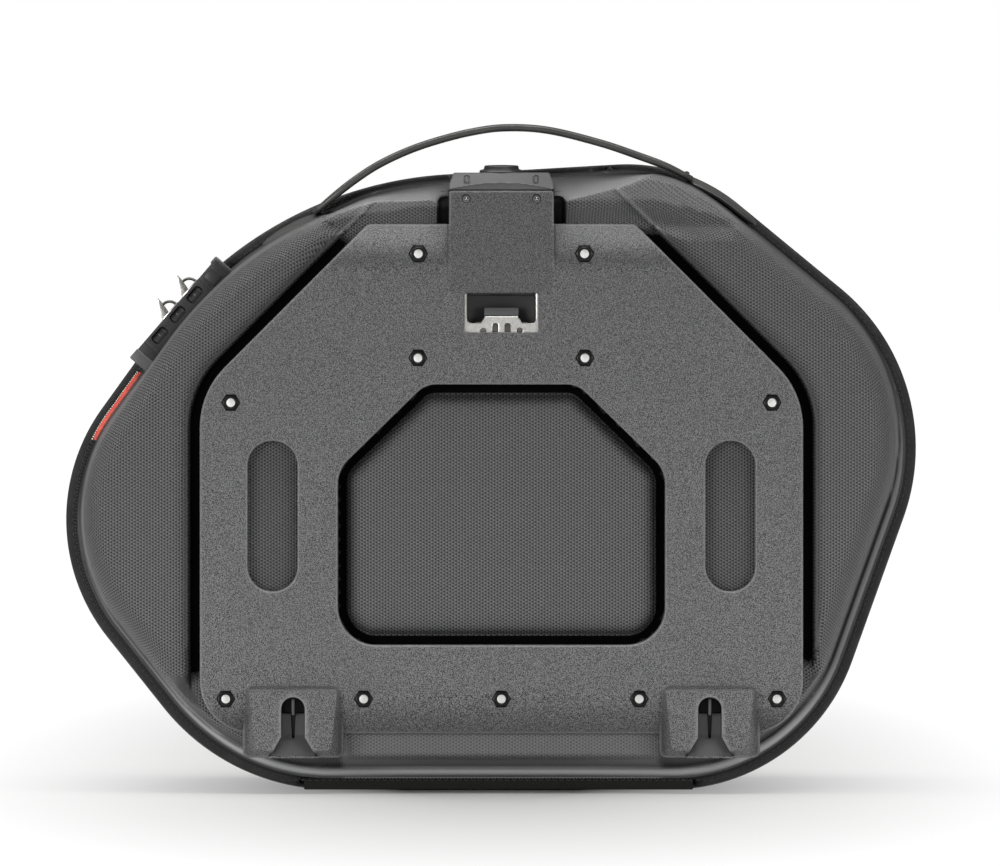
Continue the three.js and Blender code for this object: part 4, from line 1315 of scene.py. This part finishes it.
def latch():
    """A bright frame with a comb in its sprung tongue, in front of a dark pocket."""
    frame_outline = rectangle(PLATE_X, 252.7, 21.2, 11.4, 1.0)
    corner = [(-15.9 - 2.2 * math.cos(a), 249.5 - 2.2 * math.sin(a)) for a in np.linspace(0, math.pi / 2, 6)]
    half = [(-18.1, 266.5), *corner, (-11, 247.3), (-8.6, 250.9)]
    opening = half + [(-x, z) for x, z in half[::-1]]
    opening = np.array([(PLATE_X + x, z) for x, z in opening])
    teeth = ((-9.6, 243.6), (-3.2, 246.2), (3.2, 246.2), (9.6, 243.6))
    notches = [arched(PLATE_X + x, 242.5, top, 1.5, 1.1) for x, top in teeth]

    def inside(points):
        edge = np.minimum(inside_distance(frame_outline, points), loop_distance(opening, points))
        for notch in notches:
            edge = np.minimum(edge, loop_distance(notch, points))
        return edge

    def height(points):
        return -99.5 + fillet(np.maximum(inside(points), 0), 0.35)

    loops = [outline(frame_outline, 0, step=30.0), opening, *notches]
    fill = grid_points(PLATE_X - 21, PLATE_X + 21, 241.5, 264, 0.45)
    vertices, faces, _ = relief(loops, fill, inside, height, lambda x, z: -97.9, 0.5)
    make_object("latch_plate_look", vertices, faces, "release", STEEL, 32.0, ["latch_plate"])
    add("latch_comb", block((27, 0.5, 6.6), (PLATE_X, -98.3, 244.6), 0.15), "release", DARK_STEEL)
    tilt_up = Matrix.Translation((PLATE_X, -96.2, 253.1)) @ Matrix.Rotation(math.radians(-12), 4, "X")
    add("latch_lip", block((18.2, 2.6, 4.6), (0, 0, 0), 0.6, 3), "release", CAP_PLASTIC, tilt_up)
    softened("latch_pocket", 0.4, "rear", PITCH)


lock_cap()
release_lock()
latch()


# ---------------------------------------------------------------- zip
def zip_path(inset, y):
    """Points along the zip at one inset, from one end of the base strip round to the other."""
    ring = outline(BAG, inset, step=1.5, straight=3.0)
    base = outline(BAG, 0, step=1.5, straight=3.0)
    covered = (base[:, 1] < 20) & (base[:, 0] > BASE_LEFT - 0.4) & (base[:, 0] < BASE_RIGHT + 0.4)
    first = int(np.flatnonzero(covered)[-1]) + 1
    order = [(first + i) % len(ring) for i in range(len(ring))]
    order = [i for i in order if not covered[i]]
    return np.array([(ring[i, 0], y, ring[i, 1]) for i in order])


def zip_tape(name, body, node, front, back):
    """A tape with rounded edges whose outer side is slightly hollow for the chain."""
    side = 1 if back > front else -1
    section = [
        (BAND, back),
        (BAND, front + side * 0.3),
        (BAND - 0.4, front),
        (1.3, front - side * 0.1),
        (0.35, front + side * 0.5),
        (0, front + side * 1.3),
        (0.2, back - side * 1.3),
        (0.7, back),
    ]
    rings = [zip_path(inset, y) for inset, y in section]
    rings.append(rings[0])
    vertices, faces = loft(rings, closed=False, caps=False)
    tidied(make_object(name, vertices, faces, body, TAPE, 50.0, [node]), close=True)


def resample(path, pitch):
    """Evenly spaced points and directions along a path."""
    steps = np.linalg.norm(np.diff(path, axis=0), axis=1)
    length = np.concatenate(([0], np.cumsum(steps)))
    at = np.arange(pitch / 2, length[-1], pitch)
    points = np.column_stack([np.interp(at, length, path[:, k]) for k in range(3)])
    ahead = np.column_stack([np.interp(at + 0.2, length, path[:, k]) for k in range(3)])
    along = ahead - points
    keep = np.linalg.norm(along, axis=1) > 1e-6
    return points[keep], along[keep] / np.linalg.norm(along[keep], axis=1)[:, None]


def boxes_along(name, points, along, size, body, material):
    """Small rounded blocks on a path: size is along, across in Y and outwards."""
    vertices, faces = [], []
    section = [(-1, -1), (1, -1), (1, 0.4), (0.6, 1), (-0.6, 1), (-1, 0.4)]
    for point, direction in zip(points, along):
        out = np.array((direction[2], 0, -direction[0]))
        base = len(vertices)
        for end in (-0.5, 0.5):
            for v, w in section:
                across = np.array((0, v * size[1] / 2, 0))
                vertices.append(point + direction * end * size[0] + across + out * w * size[2] / 2)
        for k in range(6):
            j = (k + 1) % 6
            faces.append((base + k, base + j, base + 6 + j, base + 6 + k))
        faces.append(tuple(base + k for k in range(5, -1, -1)))
        faces.append(tuple(base + 6 + k for k in range(6)))
    return make_object(name, vertices, faces, body, material, 40.0)


def zip_teeth(name, body, offset, y):
    """Every second tooth of the chain, starting from the first or the second."""
    points, along = resample(zip_path(0.55, y), 1.5)
    boxes_along(name, points[offset::2], along[offset::2], (0.95, 2.2, 0.7), body, DARK_SATIN)


zip_tape("zip_tape_rear_look", "rear", "zip_tape_rear", tape_low.y, ZIP_Y - 0.3)
zip_tape("zip_tape_cover_look", "cover", "zip_tape_cover", 2 * ZIP_Y - tape_low.y, ZIP_Y + 0.3)
zip_teeth("zip_teeth_rear", "rear", 0, ZIP_Y - 0.5)
zip_teeth("zip_teeth_cover", "cover", 1, ZIP_Y + 0.5)


def stitches(name, inset, y, material, pitch, size):
    """A row of small blocks on the rear tape's face."""
    points, along = resample(zip_path(inset, y), pitch)
    boxes_along(name, points, along, size, "rear", material)


# Black blocks stand in for the shade in the stitch holes.
stitches("rim_holes", 5.0, tape_low.y + 0.05, PITCH, 1.8, (0.9, 0.4, 1.1))
stitches("rim_stitches", 3.7, tape_low.y + 0.02, DARK_THREAD, 3.6, (2.2, 0.4, 0.45))

# ---------------------------------------------------------------- base hinge strip
softened("base_strip_rear", 0.7, "rear", WOVEN, 3)
softened("base_strip_cover", 0.7, "cover", WOVEN, 3)
seam = np.array([(x, strip_low.y - 0.1, BAND + 0.2) for x in (BASE_LEFT - 14, BASE_RIGHT + 12)])
# Black blocks stand in for the shade in the stitch holes.
boxes_along("base_holes", *resample(seam, 1.8), (0.9, 0.8, 0.8), "rear", PITCH)
seam = seam + np.array((1, 0, -0.9))
boxes_along("base_stitches", *resample(seam, 3.6), (2.0, 0.5, 0.45), "rear", DARK_THREAD)


# ---------------------------------------------------------------- red tab
def beside_lock(inset, y, pitch, low, high):
    """Points and directions along the zip's path on the left, between two heights."""
    points, along = resample(zip_path(inset, y), pitch)
    keep = (points[:, 0] < -100) & (points[:, 2] > low) & (points[:, 2] < high)
    return points[keep], along[keep]


def red_tab():
    """A red cord in the bead, rounded at its ends, with a row of pale stitches."""
    points, along = beside_lock(5.9, -57.4, 1.2, 184.0, 221.5)
    rings = []
    for k, (point, direction) in enumerate(zip(points, along)):
        out = np.array((direction[2], 0, -direction[0]))
        end = min(k, len(points) - 1 - k)
        size = min(1.0, 0.45 + 0.25 * end)
        rings.append(oval(point, out, 1.75 * size, 1.7 * size, 16))
    vertices, faces = loft(rings)
    make_object("red_tab_look", vertices, faces, "rear", RED, 60.0, ["red_tab"])
    stitched = beside_lock(4.1, -55.6, 1.25, 185, 221)
    boxes_along("red_tab_stitches", *stitched, (0.8, 0.9, 0.8), "rear", PALE_THREAD)


red_tab()

# ---------------------------------------------------------------- combination lock and sliders
DIALS = [("lock_dial_1", -15.8), ("lock_dial_2", -1.3), ("lock_dial_3", 12.5)]
DIAL_OUT = -4.6


def combination_lock():
    """A dark bar with three dials and lighter ends, half sunk behind the shell's edge."""
    bar = rectangle(0, -4.9, 33.5, 5.7, 0.8)
    wells = [rectangle(u, DIAL_OUT + 1.4, 4.5, 2.3, 1.4) for _, u in DIALS]

    def inside(points):
        edge = inside_distance(bar, points)
        for well in wells:
            edge = np.minimum(edge, -inside_distance(well, points))
        return edge

    def height(points):
        return lock_low.y + fillet(np.maximum(inside(points), 0), 0.6)

    loops = outlines(bar, (0, 0.2, 0.6), 30.0)
    for well in wells:
        loops += outlines(well, (0, -0.3), 30.0)
    fill = np.array([(27.0, -5.0)])
    vertices, faces, _ = relief(loops, fill, inside, height, lambda x, z: -56.5, 2.0)
    place = edge_matrix()
    vertices = placed(vertices, place)
    node = "combination_lock_body"
    make_object("combination_lock_look", vertices, faces, "rear", LOCK_PLASTIC, 32.0, [node])
    add("lock_floor", block((60, 4.5, 11), (0, -58.6, -5.2), 0.4), "rear", LOCK_PLASTIC, place)
    # Each end block and rib: where it is along the bar, its width, reach outwards and depth.
    for u, width, reach, depth, material in (
        (-31.9, 6.4, 1.2, 15.5, SATIN),
        (32.8, 4.6, 1.7, 12.0, SATIN),
        (-23.4, 1.4, 0.9, 15.5, LOCK_PLASTIC),
        (20.6, 1.4, 0.9, 15.5, LOCK_PLASTIC),
    ):
        rib = block((width, depth, 11 + reach), (0, 0, 0), 0.7, 3)
        at = edge_matrix(u, -56.85 - depth / 2, (reach - 11) / 2)
        add(f"lock_end_{abs(u):.0f}", rib, "rear", material, at)
    softened("lock_release", 0.4, "lock_slider", LOCK_PLASTIC)
    for name, u in DIALS:
        body = name.replace("lock_", "")
        axis = edge_matrix(u, -66.8, DIAL_OUT) @ Matrix.Rotation(math.pi / 2, 4, "Y")
        profile = [(1.7, -4.3), (4.7, -4.4), (5.3, -3.9), (5.3, -2.4), (5.0, -2.2), (5.0, 2.2), (5.3, 2.4)]
        profile += [(5.3, 3.9), (4.7, 4.4), (1.7, 4.3)]
        lathe(name + "_look", profile, axis, body, PITCH, [name], 40, 20.0)
        marks = bmesh.new()
        for k in range(20):
            width = 0.55 if k % 2 else 1.5
            row = 3.1 if k % 4 == 0 else -3.1 * (k % 2)
            tick = block((0.3, width, 0.5), (5.08, 0, row), 0.08)
            tick.transform(axis @ Matrix.Rotation(math.radians(18 * k), 4, "Z"))
            piece = bpy.data.meshes.new("tick")
            tick.to_mesh(piece)
            tick.free()
            marks.from_mesh(piece)
        add(f"{name}_marks", marks, body, LIGHT_SATIN)


def zip_slider(name, u):
    """A slider with its bow, and a forked puller that swings on a pin."""
    place = edge_matrix(u, ZIP_Y, 0)
    slider, puller = f"slider_{name}", f"puller_{name}"
    low = block((12, 8.2, 1.3), (0, 0, 0.95), 0.4)
    body = add(f"zip_slider_{name}_look", low, slider, STEEL, place, [f"zip_slider_{name}"], 35.0)
    rings = []
    for angle in np.radians(np.linspace(-8, 188, 25)):
        out = np.array((math.cos(angle), 0, math.sin(angle)))
        rings.append(placed(oval(np.array((0, 0, 1.8)) + 4.6 * out, out, 0.75, 1.3, 12), place))
    vertices, faces = loft(rings)
    make_object(f"zip_ring_{name}", vertices, faces, None, DARK_STEEL, 50.0).parent = body
    side = [(2.1, -2.6), (2.3, 1.0), (1.8, 4.0), (1.15, 6.6), (0.3, 9.2)]
    tab_points = side + [(-x, z) for x, z in side[::-1]]
    turn = edge_matrix(u - 3.4, ZIP_Y, 2.4) @ Matrix.Rotation(math.radians(25), 4, "Y")
    for part, low, high in (("front", -2.9, -1.4), ("back", 1.4, 2.9)):
        leg = extruded(tab_points, low, high, 0.3)
        add(f"zip_puller_{name}_{part}", leg, puller, STEEL, turn, [f"zip_puller_{name}"], 35.0)
    point = [(1.4, 5.3), (1.1, 6.6), (0.3, 9.1), (-0.3, 9.1), (-1.1, 6.6), (-1.4, 5.3)]
    add(f"zip_puller_{name}_head", extruded(point, -1.6, 1.6, 0.15), puller, STEEL, turn)
    profile = [(0, -2.2), (0.7, -2.2), (0.7, 2.2), (0, 2.2)]
    pin = lathe(f"zip_puller_{name}_pin", profile, turn @ FACE_FRONT, puller, STEEL, sides=12)


combination_lock()
zip_slider("lower", -2.9)
zip_slider("upper", 13.1)

# ---------------------------------------------------------------- carry strap
HANDLE_Y = (handle_low.y + handle_high.y) / 2
STRAP_STEPS = 160
STRAP_LINE = [
    (-93.5, -62.5, 305.2),
    (-84, HANDLE_Y, 313.2),
    (-72.5, HANDLE_Y, 322.2),
    (-60, HANDLE_Y, 330.4),
    (-45, HANDLE_Y, 337.6),
    (-29.7, HANDLE_Y, 343.0),
    (-11, HANDLE_Y, 347.8),
    (7.4, HANDLE_Y, 350.2),
    (30, HANDLE_Y, 348.9),
    (57.6, HANDLE_Y, 342.2),
    (78.7, HANDLE_Y, 335.1),
    (93.8, HANDLE_Y, 329.4),
    (106, -61.5, 323.2),
]


def catmull(points, count):
    """Evenly parametrised points on a Catmull-Rom curve."""
    points = [np.array(p, float) for p in points]
    points = [2 * points[0] - points[1], *points, 2 * points[-1] - points[-2]]
    result = []
    for k in range(count):
        t = (len(points) - 3) * k / (count - 1)
        i = min(int(t), len(points) - 4)
        t -= i
        a, b, c, d = points[i : i + 4]
        result.append(
            0.5 * (2 * b + (c - a) * t + (2 * a - 5 * b + 4 * c - d) * t**2 + (3 * b - a - 3 * c + d) * t**3)
        )
    return np.array(result)


def strap():
    """Two lengths of one flat band, each from its end at the rim to the middle of the handle."""
    line = catmull(STRAP_LINE, STRAP_STEPS + 1)
    rings = []
    for k, point in enumerate(line):
        along = line[min(k + 1, STRAP_STEPS)] - line[max(k - 1, 0)]
        along = along / np.linalg.norm(along)
        out = np.array((-along[2], 0, along[0]))
        out = out / np.linalg.norm(out)
        end = min(k, STRAP_STEPS - k)
        rise = float(smoothstep(0, 22, end))
        half_width = (7.5 + 3.4 * rise) * min(1.0, 0.7 + 0.1 * end)
        half_thick = 1.6 + 0.4 * rise
        ring = []
        for a in np.linspace(0, 2 * math.pi, 25)[:-1]:
            v = math.copysign(abs(math.cos(a)) ** 0.35, math.cos(a)) * half_width
            w = math.copysign(abs(math.sin(a)) ** 0.6, math.sin(a)) * half_thick
            ring.append(point + np.array((0, v, 0)) + out * w)
        rings.append(np.array(ring))
    middle = next(k for k, p in enumerate(line) if p[0] > 7.4)
    for name, part, ends in (
        ("strap_left", rings[: middle + 1], ((-80, -58), ["carry_handle", "handle_end_left"])),
        ("strap_right", rings[middle:][::-1], ((96, 76), ["handle_end_right"])),
    ):
        vertices, faces = loft(part)
        obj = make_object(name, vertices, faces, None, RUBBER, 60.0)
        tidied(obj)
        (first, last), nodes = ends
        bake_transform(obj)
        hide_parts(*nodes)


def anchor(name, low, high, section):
    """A smooth tab that lies along the rim and holds the strap's end."""
    reference = zip_path(4.0, 0)
    upper = reference[:, 2] > 240
    chosen = np.flatnonzero((reference[:, 0] > low) & (reference[:, 0] < high) & upper)
    rows = np.array([zip_path(inset, y)[chosen] for inset, y in section])
    middle = rows.mean(axis=0)
    for k in range(len(chosen)):
        end = min(k, len(chosen) - 1 - k)
        rows[:, k] = middle[k] + (rows[:, k] - middle[k]) * min(1.0, 0.35 + 0.3 * end)
    vertices, faces = loft(list(rows) + [rows[0]], closed=False, caps=False)
    obj = make_object(name + "_look", vertices, faces, None, RUBBER, 60.0)
    tidied(obj, close=True)
    soft = obj.modifiers.new("soft", "SUBSURF")
    soft.levels = soft.render_levels = 1
    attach(obj, "rear")
    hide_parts(name)


strap()
anchor(
    "handle_anchor_left",
    -126,
    -87,
    [(2.8, -51.0), (2.6, -53.5), (3.9, -60.0), (5.8, -68.0)]
    + [(6.8, -70.5), (7.4, -68.0), (7.0, -61.0), (5.5, -52.0)],
)
anchor(
    "handle_anchor_right",
    101,
    141,
    [(0.6, -50.0), (0.2, -52.0), (0.4, -58.0), (1.6, -64.0)]
    + [(3.6, -67.0), (5.0, -65.0), (5.2, -60.0), (4.5, -51.0)],
)
keeper_place = Matrix.Translation((103.2, HANDLE_Y, 325.6)) @ Matrix.Rotation(math.radians(33), 4, "Y")
add("strap_keeper", block((2.6, 15, 3.4), (0, 0, 0), 0.8, 3), "rear", RUBBER, keeper_place)


# ---------------------------------------------------------------- outer cover
PANEL_INSET = 41.5  # the seam round the cover's flat panel
# Inset, depth and lift of the base of the rings from the zip to the crown.
COVER_RINGS = [
    (0.5, -41.7, 0),
    (0.5, -20, 0),
    (3, 20, 0),
    (9, 55, 0.5),
    (19, 80, 3),
    (33, 96, 11),
    (52, 104.5, 25),
    (70, 107.3, 41),
    (92, 108.4, 55),
]


def cover_shell():
    """Rings from the zip to the crown: the base stays flat on the ground until it turns up."""
    fine = catmull(COVER_RINGS, 97)
    rings, weave, across, up = [], [], [], []
    edge = outline(BAG, 0.5, step=2.5, straight=12.0)
    start = int(np.argmin(np.abs(edge[:, 0]) + 9 * edge[:, 1]))
    sides = np.roll(edge, -start, axis=0) - np.roll(edge, 1 - start, axis=0)
    around = np.cumsum(np.linalg.norm(sides, axis=1))
    steps = np.linalg.norm(np.diff(fine[:, :2], axis=0), axis=1)
    run = np.concatenate(([0], np.cumsum(steps)))
    for k, (inset, y, rise) in enumerate(fine):
        inset = max(inset, 0.5)
        rise = max(rise, 0)
        near_zip = smoothstep(-41.7, -39.5, y) * (1 - smoothstep(-31.5, -29.5, y))
        panel = smoothstep(40, 44, inset)
        shape = np.roll(outline(BAG, inset - 0.9 * near_zip, rise - inset, 2.5, 12.0), -start, axis=0)
        shape[:, 1] = np.maximum(shape[:, 1], 0.0)
        depth = y + 1.4 * panel - 2.2 * math.exp(-(((inset - PANEL_INSET) / 1.6) ** 2))
        rings.append(np.column_stack((shape[:, 0], np.full(len(shape), depth), shape[:, 1])))
        woven = smoothstep(-29.5, -28, y) * smoothstep(1.7, 3.4, abs(inset - PANEL_INSET))
        weave += [woven] * len(shape)
        across += list(shape[:, 0] if inset > PANEL_INSET else around)
        up += list(shape[:, 1] if inset > PANEL_INSET else np.full(len(shape), run[k]))
    vertices, faces = loft(rings, caps=False)
    count = len(rings[0])
    faces.append(tuple(range(len(vertices) - 1, len(vertices) - 1 - count, -1)))
    obj = make_object("cover_shell_look", vertices, faces, None, FABRIC, 55.0)
    paint(obj, "weave", weave)
    paint(obj, "across", across)
    paint(obj, "up", up)
    obj.data.materials.append(LINING)
    tidied(obj)
    thickened(obj)
    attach(obj, "cover")
    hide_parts("cover_shell")


cover_shell()


# ---------------------------------------------------------------- side gussets
PLEATS = 8
GUSSET_LOW = 15
GUSSET_HIGH = 214


def gusset(name, side):
    """Cloth between the halves, folded like a bellows inside the closed bag."""
    edge = sorted((z, x) for x, z in outline(BAG, 13, step=2.0) if side * x > 60)
    rows = []
    for z in np.linspace(GUSSET_LOW, GUSSET_HIGH, 50):
        open_width = z * 1.05
        fold = open_width / PLEATS * 1.02
        wall = np.interp(z, *zip(*edge))
        path = []
        for k in range(PLEATS * 4 + 1):
            t = k / (PLEATS * 4)
            tri = abs((t * PLEATS / 2) % 1.0 - 0.5) * 2
            path.append((wall - side * (1 + fold * (1 - tri)), -52.5 + t * 13, z))
        rows.append(np.array(path))
    vertices, faces = loft(rows, closed=False, caps=False)
    obj = make_object(name + "_look", vertices, faces, None, LINING, 180.0)
    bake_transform(obj)
    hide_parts(name)


gusset("side_gusset_left", -1)
gusset("side_gusset_right", 1)

# ---------------------------------------------------------------- pieces kept from the CAD model
KEPT = {
    "backing_plate": SATIN,
    "latch_pushrod": STEEL,
    "latch_spring": STEEL,
    "dial_axle": STEEL,
}
for node, material in KEPT.items():
    mesh = frame["nodes"][node].data
    mesh.materials.clear()
    mesh.materials.append(material)


# ---------------------------------------------------------------- floor and light
def floor():
    """Painted light: the floor is pale under the bag and glows white further away, sooner at its sides than
    in front.
    """
    pale = (0.47, 0.474, 0.46)
    s = Shader("floor", "shell", pale, 0.5, Specular_IOR_Level=0.25)
    del s.material["slot"]
    place = s.position()
    split = s.node("ShaderNodeSeparateXYZ")
    s.link(place, split.inputs[0])
    across = s.math("MULTIPLY", split.outputs["X"], 3.4)
    ahead = s.math("MULTIPLY", split.outputs["Y"], -1.0)
    depth = s.math("MAXIMUM", ahead, s.math("MULTIPLY", ahead, -0.5))
    squares = s.math("ADD", s.math("MULTIPLY", across, across), s.math("MULTIPLY", depth, depth))
    radius = s.math("SQRT", squares)
    painted_glow = s.math("POWER", s.ramp(radius, 170.0, 1050.0), 0.8)
    s.color(s.mix_color(painted_glow, pale, (0, 0, 0)))
    s.link(painted_glow, s.shader.inputs["Emission Strength"])
    s.set("Emission Color", (1, 1, 1, 1))
    s.bump(s.noise(place, 6.0, 2.0), 0.01)
    mesh = bpy.data.meshes.new("floor")
    reach = 30.0
    below = -0.0004
    corners = [(-reach, -reach), (reach, -reach), (reach, reach), (-reach, reach)]
    mesh.from_pydata([(x, y, below) for x, y in corners], [], [(0, 1, 2, 3)])
    mesh.materials.append(s.material)
    obj = bpy.data.objects.new("floor", mesh)
    bpy.context.scene.collection.objects.link(obj)


def world():
    """White to the camera; a soft sky that is brighter above lights the bag."""
    scene_world = bpy.data.worlds.new("studio")
    bpy.context.scene.world = scene_world
    scene_world.use_nodes = True
    tree = scene_world.node_tree
    tree.nodes.clear()
    out = tree.nodes.new("ShaderNodeOutputWorld")
    mix = tree.nodes.new("ShaderNodeMixShader")
    path = tree.nodes.new("ShaderNodeLightPath")
    white = tree.nodes.new("ShaderNodeBackground")
    white.inputs["Color"].default_value = (1, 1, 1, 1)
    sky = tree.nodes.new("ShaderNodeBackground")
    coordinates = tree.nodes.new("ShaderNodeTexCoord")
    split = tree.nodes.new("ShaderNodeSeparateXYZ")
    ramp = tree.nodes.new("ShaderNodeMapRange")
    for socket, value in (("From Min", -0.3), ("From Max", 0.9), ("To Min", 0.1), ("To Max", 0.42)):
        ramp.inputs[socket].default_value = value
    tree.links.new(coordinates.outputs["Generated"], split.inputs[0])
    tree.links.new(split.outputs["Z"], ramp.inputs["Value"])
    tree.links.new(ramp.outputs[0], sky.inputs["Strength"])
    tree.links.new(path.outputs["Is Camera Ray"], mix.inputs[0])
    tree.links.new(sky.outputs[0], mix.inputs[1])
    tree.links.new(white.outputs[0], mix.inputs[2])
    tree.links.new(mix.outputs[0], out.inputs[0])


def area_light(name, location, look_at, size, power):
    data = bpy.data.lights.new(name, "AREA")
    data.shape = "RECTANGLE"
    data.size, data.size_y = size
    data.energy = power
    obj = bpy.data.objects.new(name, data)
    obj.location = location
    obj.rotation_euler = (Vector(look_at) - Vector(location)).to_track_quat("-Z", "Y").to_euler()
    bpy.context.scene.collection.objects.link(obj)


floor()
world()
area_light("overhead", (-0.1, -0.2, 1.6), (0, 0, 0.15), (2.0, 0.8), 31)
area_light("key", (-1.5, -2.2, 0.42), (0, 0, 0.12), (1.0, 0.8), 25)
area_light("fill", (1.6, -2.2, 0.32), (0, 0, 0.12), (1.0, 0.6), 15)
bpy.context.scene.view_settings.view_transform = "Standard"
